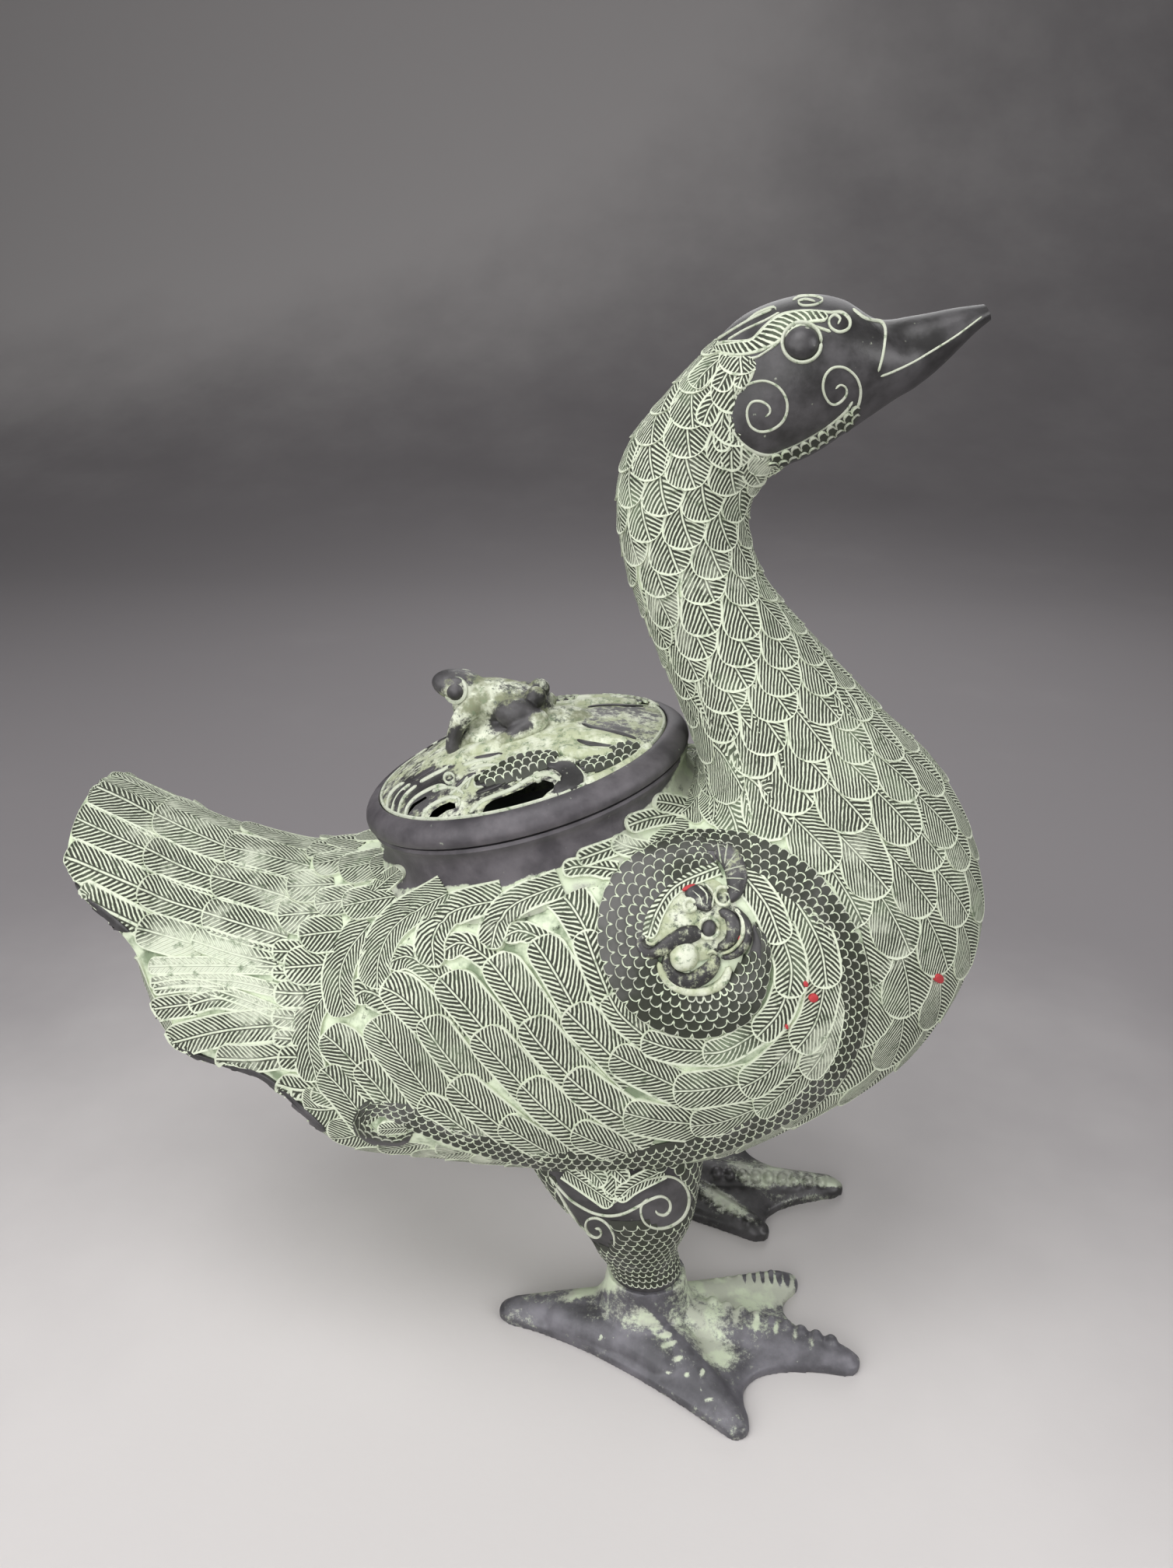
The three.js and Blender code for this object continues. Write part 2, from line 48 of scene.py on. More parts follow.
# The duck's profile, one cross-section a row: x and z of its back point, x and z of its breast point,
# the level of its widest place, its half-width there, and how square its upper and lower halves are
PROFILE = [
    (-181, 200, -181, 180, 0.12, 28, 1.8, 2.5),
    (-174, 198, -174, 168, 0.08, 32, 1.8, 2.5),
    (-156, 190.5, -156, 150, 0.08, 38, 1.8, 2.5),
    (-149, 188, -149, 126.5, 0.07, 42, 1.8, 2.5),
    (-139, 184.5, -139, 114, 0.07, 46, 1.8, 2.5),
    (-120, 179, -120, 112, 0.08, 51, 1.8, 2.5),
    (-102, 176, -102, 106, 0.12, 56, 1.9, 2.4),
    (-80, 179, -80, 79, 0.24, 62, 2.3, 2.2),
    (-50, 189, -50, 71, 0.38, 69, 3.0, 2.1),
    (-20, 198, -20, 68, 0.45, 73, 3.3, 2.1),
    (10, 206, 15, 68, 0.48, 74, 3.2, 2.1),
    (30, 211, 53, 75, 0.5, 72, 2.7, 2.1),
    (37, 213, 89, 95, 0.52, 69, 2.3, 2.1),
    (39, 216, 117, 117, 0.55, 65, 2.2, 2.1),
    (40, 219, 132.5, 143, 0.58, 59, 2.1, 2.1),
    (40, 222, 138, 168, 0.62, 51, 2.1, 2.1),
    (39, 226, 132, 195, 0.64, 43, 2.1, 2.1),
    (36.5, 232, 118.5, 219, 0.62, 36, 2.05, 2.05),
    (30, 247, 97.5, 239, 0.58, 29, 2, 2),
    (21, 267, 75.5, 261, 0.54, 24, 2, 2),
    (13.5, 287, 57, 282, 0.52, 21, 2, 2),
    (10.7, 307, 50.5, 302, 0.5, 19, 2, 2),
    (14, 323, 56.5, 315, 0.5, 19, 2, 2),
    (24, 336.5, 69.5, 322, 0.5, 20.5, 2, 2),
    (37, 351, 79, 328, 0.5, 22.5, 2, 2),
    (48, 361, 86, 333, 0.5, 23, 2, 2),
    (63, 366, 93, 338, 0.5, 20.5, 2, 2),
    (75, 365, 98, 341, 0.45, 16, 2, 2),
    (86, 359.5, 103, 345, 0.4, 11, 2, 2),
    (97, 360.5, 108, 350, 0.4, 9, 2, 2),
    (108, 362.5, 113.5, 356, 0.4, 6.5, 2, 2),
    (116, 363.5, 118, 360, 0.45, 3.5, 2, 2),
]
LAST_ROW = len(PROFILE) - 1
STEPS_PER_ROW = 10
AROUND = 240
SKIN = 0.45  # the dressed skin stands this far outside the plain casting
WALL = 3.6
WING_RISE = 1.3  # the wing panel's height above the flank
WING_SLOPE = 14  # photo pixels over which the panel rises

MOUTH_TILT = math.radians(15)
MOUTH = np.array([-20.5, 0.0, 210.5])
MOUTH_RADIUS = 50
MOUTH_AXIS = np.array([-math.sin(MOUTH_TILT), 0.0, math.cos(MOUTH_TILT)])
MOUTH_FORWARD = np.array([math.cos(MOUTH_TILT), 0.0, math.sin(MOUTH_TILT)])

# The photo's camera, in the drawing's millimetres and the photo's 1508 by 2016 pixels
PHOTO_CENTRE = (754, 1008)
PHOTO_FOCAL = 1513
PHOTO_LONG_SIDE = 2016
CAMERA_TARGET = np.array([0.0, 0.0, 208.0])
CAMERA_AZIMUTH = math.radians(6.5)
CAMERA_ELEVATION = math.radians(22.4)
CAMERA_DISTANCE = 413
SENSOR = 36


# Curves and the loft

def catmull(rows, places):
    """A smooth curve through rows of numbers, at places counted in rows."""
    rows = np.asarray(rows, float)
    padded = np.vstack([2 * rows[0] - rows[1], rows, 2 * rows[-1] - rows[-2]])
    places = np.asarray(places, float)
    i = np.clip(np.floor(places).astype(int), 0, len(rows) - 2)
    f = (places - i)[:, None]
    p0, p1, p2, p3 = (padded[i + k] for k in range(4))
    square = (2 * p0 - 5 * p1 + 4 * p2 - p3) * f**2
    cube = (3 * p1 - p0 - 3 * p2 + p3) * f**3
    return 0.5 * (2 * p1 + (p2 - p0) * f + square + cube)


def smooth(value, low, high):
    """0 below low, 1 above high and an S-curve between them."""
    f = np.clip((value - low) / (high - low), 0, 1)
    return f * f * (3 - 2 * f)


def unit(vectors):
    return vectors / np.maximum(np.linalg.norm(vectors, axis=-1, keepdims=True), 1e-12)


def turns(count):
    """Angles evenly spaced round a circle."""
    return np.arange(count) / count * 2 * math.pi


def cos_sin(degrees):
    return math.cos(math.radians(degrees)), math.sin(math.radians(degrees))


def loft_rings():
    """The duck's surface as rings of points, evenly spaced round each from the back over the near side."""
    places = np.arange(LAST_ROW * STEPS_PER_ROW + 1) / STEPS_PER_ROW
    rows = catmull(PROFILE, places)
    back_x, back_z, breast_x, breast_z, level, half, upper, lower = (rows[:, k, None] for k in range(8))
    angle = np.linspace(0.5, 2.5, 1441)[None] * math.pi
    sine, cosine = np.sin(angle), np.cos(angle)
    square = 2 / np.where(sine >= 0, upper, lower)
    rise = np.abs(sine) ** square
    share = np.where(sine >= 0, level + (1 - level) * rise, level * (1 - rise))
    x = breast_x + (back_x - breast_x) * share
    y = half * np.sign(cosine) * np.abs(cosine) ** square
    z = breast_z + (back_z - breast_z) * share
    fine = np.stack([x, y, z], axis=2)
    rings = []
    for ring in fine:
        lengths = np.concatenate([[0], np.cumsum(np.linalg.norm(np.diff(ring, axis=0), axis=1))])
        marks = np.arange(AROUND) / AROUND * lengths[-1]
        rings.append(np.stack([np.interp(marks, lengths, ring[:, k]) for k in range(3)], axis=1))
    return np.array(rings)


def ring_normals(rings):
    around = np.roll(rings, -1, axis=1) - np.roll(rings, 1, axis=1)
    along = np.gradient(rings, axis=0)
    normals = unit(np.cross(around, along))
    outwards = rings - rings.mean(axis=1, keepdims=True)
    return normals * np.sign((normals * outwards).sum(axis=2, keepdims=True))


RINGS = loft_rings()
NORMALS = ring_normals(RINGS)
GIRTH = np.linalg.norm(np.roll(RINGS, -1, axis=1) - RINGS, axis=2).sum(axis=1)


def girth_at(row):
    return float(np.interp(row, np.arange(len(GIRTH)) / STEPS_PER_ROW, GIRTH))


def on_grid(grid, t, s):
    """A grid of values read at row t and turn s, a share of the way round."""
    row = np.clip(np.asarray(t) * STEPS_PER_ROW, 0, len(grid) - 1.001)
    column = np.mod(s, 1) * AROUND
    i, j = row.astype(int), column.astype(int) % AROUND
    f, g = (row - i)[..., None], (column - np.floor(column))[..., None]
    after = (j + 1) % AROUND
    near = grid[i, j] * (1 - g) + grid[i, after] * g
    far = grid[i + 1, j] * (1 - g) + grid[i + 1, after] * g
    return near * (1 - f) + far * f


def on_loft(t, s):
    return on_grid(RINGS, t, s), unit(on_grid(NORMALS, t, s))


# The photo as a way to place things

def camera_axes():
    side, lift = math.sin(CAMERA_AZIMUTH), math.sin(CAMERA_ELEVATION)
    flat = math.cos(CAMERA_ELEVATION)
    back = np.array([side * flat, -math.cos(CAMERA_AZIMUTH) * flat, lift])
    right = np.array([math.cos(CAMERA_AZIMUTH), side, 0.0])
    return right, np.cross(back, right), back


CAMERA_RIGHT, CAMERA_UP, CAMERA_BACK = camera_axes()
CAMERA_EYE = CAMERA_TARGET + CAMERA_BACK * CAMERA_DISTANCE
SIDES = {"right": -1, "left": 1}  # the duck's sides, with their signs along Y


def to_photo(points):
    """Photo pixels of points."""
    away = points - CAMERA_EYE
    depth = -(away @ CAMERA_BACK)
    x = PHOTO_CENTRE[0] + PHOTO_FOCAL * (away @ CAMERA_RIGHT) / depth
    y = PHOTO_CENTRE[1] - PHOTO_FOCAL * (away @ CAMERA_UP) / depth
    return np.stack([x, y], axis=-1)


def near_side(points):
    """Points with those of the duck's left mirrored to its right, the side that the photo shows."""
    return np.stack([points[..., 0], -np.abs(points[..., 1]), points[..., 2]], axis=-1)


def photo_surface(tree, sign):
    """A function from photo pixels to points and normals on a surface. Sign 1 mirrors them to the left."""
    mirror = np.array([1, -sign, 1])
    eye = Vector(CAMERA_EYE)

    def place(px, py):
        points = np.empty(px.shape + (3,))
        normals = np.empty(px.shape + (3,))
        hits = []
        for index in np.ndindex(px.shape):
            x = (px[index] - PHOTO_CENTRE[0]) / PHOTO_FOCAL
            y = (PHOTO_CENTRE[1] - py[index]) / PHOTO_FOCAL
            sight = Vector(CAMERA_RIGHT * x + CAMERA_UP * y - CAMERA_BACK).normalized()
            point, normal, _, distance = tree.ray_cast(eye, sight)
            hits.append((index, sight, point, normal, distance))
        reach = next((hit[4] for hit in hits if hit[2] is not None), CAMERA_DISTANCE)
        for index, sight, point, normal, distance in hits:
            if point is None:
                point, normal, _, _ = tree.find_nearest(eye + sight * reach)
            else:
                reach = distance
            points[index] = point
            normals[index] = normal if normal.dot(sight) < 0 else -normal
        return points * mirror, normals * mirror

    return place


def both_sides(tree):
    return {side: photo_surface(tree, sign) for side, sign in SIDES.items()}


def inside(pixels, outline):
    """How far pixels lie inside a closed outline, negative outside."""
    outline = np.asarray(outline, float)
    after = np.roll(outline, -1, axis=0)
    x, y = pixels[..., 0, None], pixels[..., 1, None]
    edge = after - outline
    share = ((x - outline[:, 0]) * edge[:, 0] + (y - outline[:, 1]) * edge[:, 1]) / (edge**2).sum(axis=1)
    share = np.clip(share, 0, 1)
    gap = np.hypot(x - outline[:, 0] - share * edge[:, 0], y - outline[:, 1] - share * edge[:, 1])
    spans = (outline[:, 1] > y) != (after[:, 1] > y)
    slope = edge[:, 0] / np.where(edge[:, 1] == 0, 1e-9, edge[:, 1])
    crossings = (spans & (x < outline[:, 0] + (y - outline[:, 1]) * slope)).sum(axis=-1)
    return gap.min(axis=-1) * np.where(crossings % 2 == 1, 1, -1)


def blots(points, places, mirrored=True):
    """Soft spots drawn on the photo, added up at points, with the near side's mirrored to the far one or not.
    Each place is its centre, its reach both ways, its turn in degrees and its strength."""
    pixels = to_photo(near_side(points) if mirrored else points)
    total = np.zeros(points.shape[:-1])
    for (x, y), (long, wide), turn, strength in places:
        dx, dy = pixels[..., 0] - x, pixels[..., 1] - y
        cosine, sine = cos_sin(turn)
        along, across = (dx * cosine + dy * sine) / long, (dy * cosine - dx * sine) / wide
        total += strength * np.exp(-(along**2 + across**2))
    return total


# Outline of the raised wing panel with its medallion, in photo pixels
WING_OUTLINE = [
    (413, 1400), (412, 1350), (425, 1318), (452, 1300), (456, 1262), (490, 1250), (520, 1222), (560, 1235),
    (585, 1205), (640, 1212), (668, 1188), (698, 1165), (704, 1130), (740, 1122), (768, 1138), (790, 1104),
    (830, 1084), (880, 1070), (960, 1072), (1020, 1092), (1075, 1135), (1112, 1200), (1121, 1280),
    (1107, 1340), (1078, 1390), (1032, 1430), (962, 1467), (900, 1491), (820, 1508), (700, 1506),
    (600, 1485), (540, 1472), (470, 1472), (440, 1445), (418, 1415),
]


def panel_rise(points, normals):
    """Height of the wing panel above the flank at points of the loft, on both sides of the duck."""
    near = near_side(points)
    sight = unit(CAMERA_EYE - near)
    seen = smooth((near_side(normals) * sight).sum(axis=-1), 0.02, 0.2)
    return WING_RISE * seen * smooth(inside(to_photo(near), WING_OUTLINE), 0, WING_SLOPE)


RISE = SKIN + panel_rise(RINGS, NORMALS)
DRESSED = RINGS + NORMALS * RISE[..., None]


def ring_faces(rows, around, first=0):
    """Quads between closed rings of points."""
    index = first + np.arange(rows * around).reshape(rows, around)
    after = np.roll(index, -1, axis=1)
    quads = np.stack([index[:-1], after[:-1], after[1:], index[1:]], axis=-1)
    return quads.reshape(-1, 4)


SKIN_POINTS = DRESSED.reshape(-1, 3)
SKIN_FACES = ring_faces(len(RINGS), AROUND).tolist()
SKIN_TREE = BVHTree.FromPolygons(SKIN_POINTS.tolist(), SKIN_FACES)
DUCK_SIDES = both_sides(SKIN_TREE)


# Meshes

def in_frame(points):
    """The frame's metres from the drawing's millimetres."""
    return (np.asarray(points) + [CENTRE_X, 0, 0]) * MM


def plain_object(name, points, faces):
    mesh = bpy.data.meshes.new(name)
    mesh.from_pydata(in_frame(points).tolist(), [], faces)
    piece = bpy.data.objects.new(name, mesh)
    bpy.context.scene.collection.objects.link(piece)
    return piece


def set_mark(piece, name, values):
    """Stores a number at each point of a piece for its finish."""
    layer = piece.data.attributes.new(name, "FLOAT", "POINT")
    layer.data.foreach_set("value", np.asarray(values, np.float32))


def shade(piece, sharp):
    """Smooth shading, except over edges sharper than an angle in degrees."""
    piece.data.polygons.foreach_set("use_smooth", [True] * len(piece.data.polygons))
    piece.data.set_sharp_from_angle(angle=math.radians(sharp))


def make_object(name, points, faces, finish, body="duck", marks=None, sharp=35):
    """A named piece from the drawing's points and faces, riding on a body."""
    piece = plain_object(name, points, faces)
    for key, values in (marks or {}).items():
        set_mark(piece, key, values)
    piece.data.materials.append(finish)
    shade(piece, sharp)
    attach(piece, body)
    return piece


def closed_rings(rings):
    """Points and faces of a solid through rings, with flat ends."""
    rings = np.asarray(rings)
    rows, around = rings.shape[:2]
    faces = ring_faces(rows, around).tolist()
    faces.append(list(range(around))[::-1])
    faces.append(list(range((rows - 1) * around, rows * around)))
    return rings.reshape(-1, 3), faces


def evaluated(piece):
    """A piece's mesh with its modifiers worked out, which takes their place."""
    graph = bpy.context.evaluated_depsgraph_get()
    mesh = bpy.data.meshes.new_from_object(piece.evaluated_get(graph))
    piece.modifiers.clear()
    piece.data = mesh


def face_outwards(piece):
    """Turns every face of a closed mesh outwards."""
    work = bmesh.new()
    work.from_mesh(piece.data)
    bmesh.ops.recalc_face_normals(work, faces=work.faces)
    work.to_mesh(piece.data)
    work.free()


def cut(piece, tools):
    """Takes closed tool objects away from a closed piece."""
    for tool in tools:
        face_outwards(tool)
    face_outwards(piece)
    for tool in tools:
        step = piece.modifiers.new("cut", "BOOLEAN")
        step.operation, step.object, step.solver = "DIFFERENCE", tool, "MANIFOLD"
    evaluated(piece)
    for tool in tools:
        bpy.data.objects.remove(tool)
    shade(piece, 35)


def mesh_points(piece):
    """A piece's points in the drawing's millimetres."""
    flat = np.empty(len(piece.data.vertices) * 3, np.float32)
    piece.data.vertices.foreach_get("co", flat)
    return flat.reshape(-1, 3) / MM - [CENTRE_X, 0, 0]


def set_points(piece, points):
    piece.data.vertices.foreach_set("co", in_frame(points).astype(np.float32).reshape(-1))
    piece.data.update()


# Small raised patches: feathers, scales and ribbons

@lru_cache(maxsize=None)
def patch_faces(rows, columns):
    """Faces of a grid of points closed by a skirt and an underside: the skirt's points follow the grid's."""
    index = np.arange(rows * columns).reshape(rows, columns)
    rim = np.concatenate([index[0], index[1:, -1], index[-1, -2::-1], index[-2:0:-1, 0]])
    low = rows * columns + np.arange(len(rim))
    lower = dict(zip(rim.tolist(), low.tolist()))
    quads = np.stack([index[:-1, :-1], index[:-1, 1:], index[1:, 1:], index[1:, :-1]], axis=-1).reshape(-1, 4)
    faces = quads.tolist()
    for k in range(len(rim)):
        after = (k + 1) % len(rim)
        faces.append([int(rim[after]), int(rim[k]), int(low[k]), int(low[after])])
    for i in range(rows - 1):
        corners = (index[i, 0], index[i + 1, 0], index[i + 1, -1], index[i, -1])
        faces.append([lower[int(corner)] for corner in corners])
    faces.append([lower[int(corner)] for corner in index[0]])
    faces.append([lower[int(corner)] for corner in index[-1, ::-1]])
    return rim, faces


# Where the pale powder lies thick, or is worn off where the strength is negative, in photo pixels
WEAR = [
    ((268, 1232), (80, 26), 12, 0.5), ((222, 1242), (40, 32), 0, 0.4), ((240, 1110), (180, 80), 22, 0.12),
    ((330, 1290), (50, 24), 20, 0.22), ((455, 1325), (34, 26), 0, 0.3), ((480, 1270), (30, 20), 0, 0.16),
    ((800, 1085), (60, 18), -20, 0.22), ((1130, 1190), (40, 60), 0, 0.12), ((1000, 640), (40, 40), 0, 0.2),
    ((960, 800), (40, 90), 0, -0.12), ((1075, 1330), (60, 40), 0, 0.1), ((430, 1130), (60, 40), 0, 0.1),
    ((640, 1480), (60, 20), 0, 0.12), ((530, 1360), (30, 20), 30, 0.16),
]
# The same on the medallion's scales
BAND_WEAR = [
    ((800, 1140), (50, 60), 0, 0.5), ((790, 1230), (24, 60), 0, 0.2), ((870, 1095), (50, 16), -20, 0.3),
    ((900, 1330), (90, 30), 0, -0.3), ((1100, 1300), (30, 90), 0, -0.1), ((500, 1430), (30, 20), 0, 0.2),
]


class Patches:
    """Raised patches gathered into one mesh, with what the finish needs to know at each point."""

    def __init__(self):
        self.points, self.faces, self.count = [], [], 0
        self.marks = {key: [] for key in ("along", "across", "edge", "tint")}

    def add(self, points, normals, height, marks, sink=0.35):
        rows, columns = height.shape
        rim, faces = patch_faces(rows, columns)
        top = (points + normals * height[..., None]).reshape(-1, 3)
        low = (points - normals * sink).reshape(-1, 3)[rim]
        i, j = rows // 2, columns // 2
        down, right = points[i, j] - points[i - 1, j], points[i, j] - points[i, j - 1]
        flip = np.dot(np.cross(right, down), normals[i, j]) < 0
        turned = [face[::-1] for face in faces] if flip else faces
        self.faces.extend([[corner + self.count for corner in face] for face in turned])
        self.points.extend([top, low])
        for key, stored in self.marks.items():
            values = np.broadcast_to(marks[key], height.shape).reshape(-1)
            stored.extend([values, values[rim]])
        self.count += len(top) + len(low)

    def build(self, name, finish, body="duck", slot="patina", wear=WEAR):
        marks = {key: np.concatenate(values) for key, values in self.marks.items()}
        points = np.concatenate(self.points)
        marks["wear"] = blots(points, wear)
        piece = make_object(name, points, self.faces, finish, body, marks, sharp=50)
        return piece


ACROSS = np.array([-1, -0.93, -0.8, -0.45, 0, 0.45, 0.8, 0.93, 1])
TIP_ROWS = [-1, -0.93, -0.8, -0.5, -0.2, 0]
FEW_ACROSS = np.array([-1, -0.8, -0.4, 0, 0.4, 0.8, 1])
FEW_TIP_ROWS = [-1, -0.8, -0.4, 0]
RIM_WIDTH = 0.8
SHAFT_MIDDLE = 0.45  # where a slanted shaft crosses the feather's middle, as a share of its length
SHAFT_STEP = 9  # between a drawn feather's rows of points, in photo pixels


def plume(patches, place, widths, length, step, tip=1.0, lift=(0.1, 0.9), dome=0.25, rim=0.2, slant=0.0,
          tilt=0.0, few=False, tint=None, sink=0.35, fineness=1.0):
    """One feather or scale. place turns distance from the tip and distance across into points and normals,
    in the same units as widths (its two half-widths), length and step. slant turns the shaft, in degrees,
    tilt lifts the first half-width's side above the other, and fineness packs the barbs closer."""
    lower, upper = widths
    half = (lower + upper) / 2
    tip_rows = FEW_TIP_ROWS if few else TIP_ROWS
    straight = length / half - tip
    body = np.linspace(0, straight, max(2, round(straight * half / step) + 1))[1:]
    p, q = np.meshgrid([*tip_rows, *body], FEW_ACROSS if few else ACROSS, indexing="ij")
    front = np.minimum(p, 0)
    reach = np.where(p < 0, tip * (1 + p * np.sqrt(1 - q * q / 2)), tip + p) * half
    across = q * np.sqrt(1 - front * front / 2)
    points, normals = place(reach, across * np.where(across < 0, lower, upper))
    middle, widest = q.shape[1] // 2, tip_rows.index(0)
    steps = np.linalg.norm(np.diff(points[:, middle], axis=0), axis=1)
    total = steps.sum()
    along_mm = np.interp(reach, reach[:, middle], np.concatenate([[0], np.cumsum(steps)]))
    lower_mm = np.linalg.norm(points[widest, 0] - points[widest, middle])
    upper_mm = np.linalg.norm(points[widest, -1] - points[widest, middle])
    edge_mm = (1 - np.maximum(-front, np.abs(q))) * (lower_mm + upper_mm) / 2
    if few:
        edge_mm = edge_mm + np.maximum(p, 0) * (lower_mm + upper_mm) / 5
    across_mm = across * np.where(across < 0, lower_mm, upper_mm)
    height = lift[0] + (lift[1] - lift[0]) * (1 - along_mm / total) - tilt * across
    height = height + dome * (1 - across**2) + rim * np.exp(-((edge_mm / RIM_WIDTH) ** 2))
    cosine, sine = cos_sin(slant)
    behind = along_mm - SHAFT_MIDDLE * total
    marks = {
        "along": (behind * cosine - across_mm * sine) * fineness,
        "across": (across_mm * cosine + behind * sine) * fineness,
        "edge": edge_mm,
        "tint": rng.random() if tint is None else tint,
    }
    patches.add(points, normals, height, marks, sink)


class Ribbon:
    """A smooth line on the photo through points, with room to read places beside it."""

    def __init__(self, points):
        points = np.asarray(points, float)
        line = catmull(points, np.linspace(0, len(points) - 1, 30 * (len(points) - 1) + 1))
        self.line = line[:, :2]
        self.widths = line[:, 2] if line.shape[1] > 2 else np.full(len(line), 1.0)
        self.lengths = np.concatenate([[0], np.cumsum(np.linalg.norm(np.diff(self.line, axis=0), axis=1))])
        heading = unit(np.gradient(self.line, self.lengths, axis=0))
        self.beside = np.stack([heading[:, 1], -heading[:, 0]], axis=1)
        self.heading = heading
        self.length = self.lengths[-1]

    def at(self, along, across):
        held = np.clip(along, 0, self.length)
        over = along - held
        read = [np.interp(held, self.lengths, column) for column in
                (*self.line.T, *self.beside.T, *self.heading.T)]
        x = read[0] + read[2] * across + read[4] * over
        y = read[1] + read[3] * across + read[5] * over
        return x, y

    def half(self, along):
        return np.interp(along, self.lengths, self.widths)


def drawn_feather(patches, surface, points, widths, **shape):
    """A feather whose shaft is drawn on the photo from its tip to its root."""
    ribbon = Ribbon(points)

    def place(along, across):
        return surface(*ribbon.at(along, across))

    plume(patches, place, widths, ribbon.length, SHAFT_STEP, **shape)


def ridge(patches, surface, points, lift=0.1, dome=0.6, sink=0.5, tint=0.5, columns=7, spacing=3.5,
          thin=1.0, offset=0.0, lean=1.0):
    """A domed ribbon with rounded ends along a line drawn on the photo, each point with its half-width, which
    thin scales. offset moves a feather finish's shaft off the ribbon, so that its barbs run one way, and lean
    turns them."""
    ribbon = Ribbon(points)
    ribbon.widths = ribbon.widths * thin
    rows = np.linspace(0, ribbon.length, max(4, round(ribbon.length / spacing)))
    across = np.sin(np.linspace(-0.5, 0.5, columns) * math.pi)
    along, q = np.meshgrid(rows, across, indexing="ij")
    half = ribbon.half(along)
    ending = np.clip(np.minimum(along, ribbon.length - along) / np.maximum(half, 0.5), 0, 1)
    taper = np.sqrt(np.maximum(1 - (1 - ending) ** 2, 0.06))
    at, normals = surface(*ribbon.at(along, q * half * taper))
    middle = columns // 2
    lengths = np.concatenate([[0], np.cumsum(np.linalg.norm(np.diff(at[:, middle], axis=0), axis=1))])
    beside = np.linalg.norm(at - at[:, middle : middle + 1], axis=2) * np.sign(q)
    marks = {
        "along": np.broadcast_to(lengths[:, None], q.shape),
        "across": beside * lean + offset,
        "edge": (1 - np.abs(q)) * np.abs(beside).max(axis=1, keepdims=True),
        "tint": tint,
    }
    patches.add(at, normals, lift + dome * np.sqrt(1 - q * q) * taper, marks, sink)


def button(patches, surface, centre, radii, turn=0.0, lift=0.1, dome=1.0, sink=0.5, tint=0.5):
    """A domed oval drawn on the photo."""
    steps = np.sin(np.linspace(-0.5, 0.5, 11) * math.pi)
    middle = len(steps) // 2
    p, q = np.meshgrid(steps, steps, indexing="ij")
    a, b = p * np.sqrt(1 - q * q / 2), q * np.sqrt(1 - p * p / 2)
    cosine, sine = cos_sin(turn)
    x = centre[0] + a * radii[0] * cosine - b * radii[1] * sine
    y = centre[1] + a * radii[0] * sine + b * radii[1] * cosine
    at, normals = surface(x, y)
    out = np.clip(a * a + b * b, 0, 1)
    size = np.linalg.norm(at[middle, 0] - at[middle, middle])
    marks = {"along": a * size, "across": b * size, "edge": (1 - np.sqrt(out)) * size, "tint": tint}
    patches.add(at, normals, lift + dome * np.sqrt(1 - out), marks, sink)


# Finishes

def srgb(red, green, blue):
    """A linear colour from 0 to 255 screen values."""
    screen = [value / 255 for value in (red, green, blue)]
    linear = [c / 12.92 if c <= 10 / 255 else ((c + 0.055) / 1.055) ** 2.4 for c in screen]
    return (*linear, 1.0)


PALE = srgb(208, 218, 192)
PALE_WARM = srgb(214, 218, 200)
GROOVE = srgb(46, 50, 38)
GROOVE_GREEN = srgb(124, 138, 112)
BRONZE = srgb(86, 84, 86)
BRONZE_DARK = srgb(46, 45, 45)
RIM_BRONZE = srgb(100, 96, 100)
RIM_DARK = srgb(66, 63, 67)
FOOT_BRONZE = srgb(114, 112, 118)
FOOT_DARK = srgb(74, 73, 77)
LINE_PALE = srgb(178, 184, 164)
LINE_WARM = srgb(196, 200, 184)
SCALE_DARK = srgb(52, 55, 46)
DUST = srgb(190, 194, 178)
MAUVE = srgb(110, 108, 108)
OLIVE = srgb(132, 136, 110)
POWDER_OLIVE = srgb(176, 182, 152)
RED = srgb(190, 40, 50)
DULL_RED = srgb(150, 60, 60)


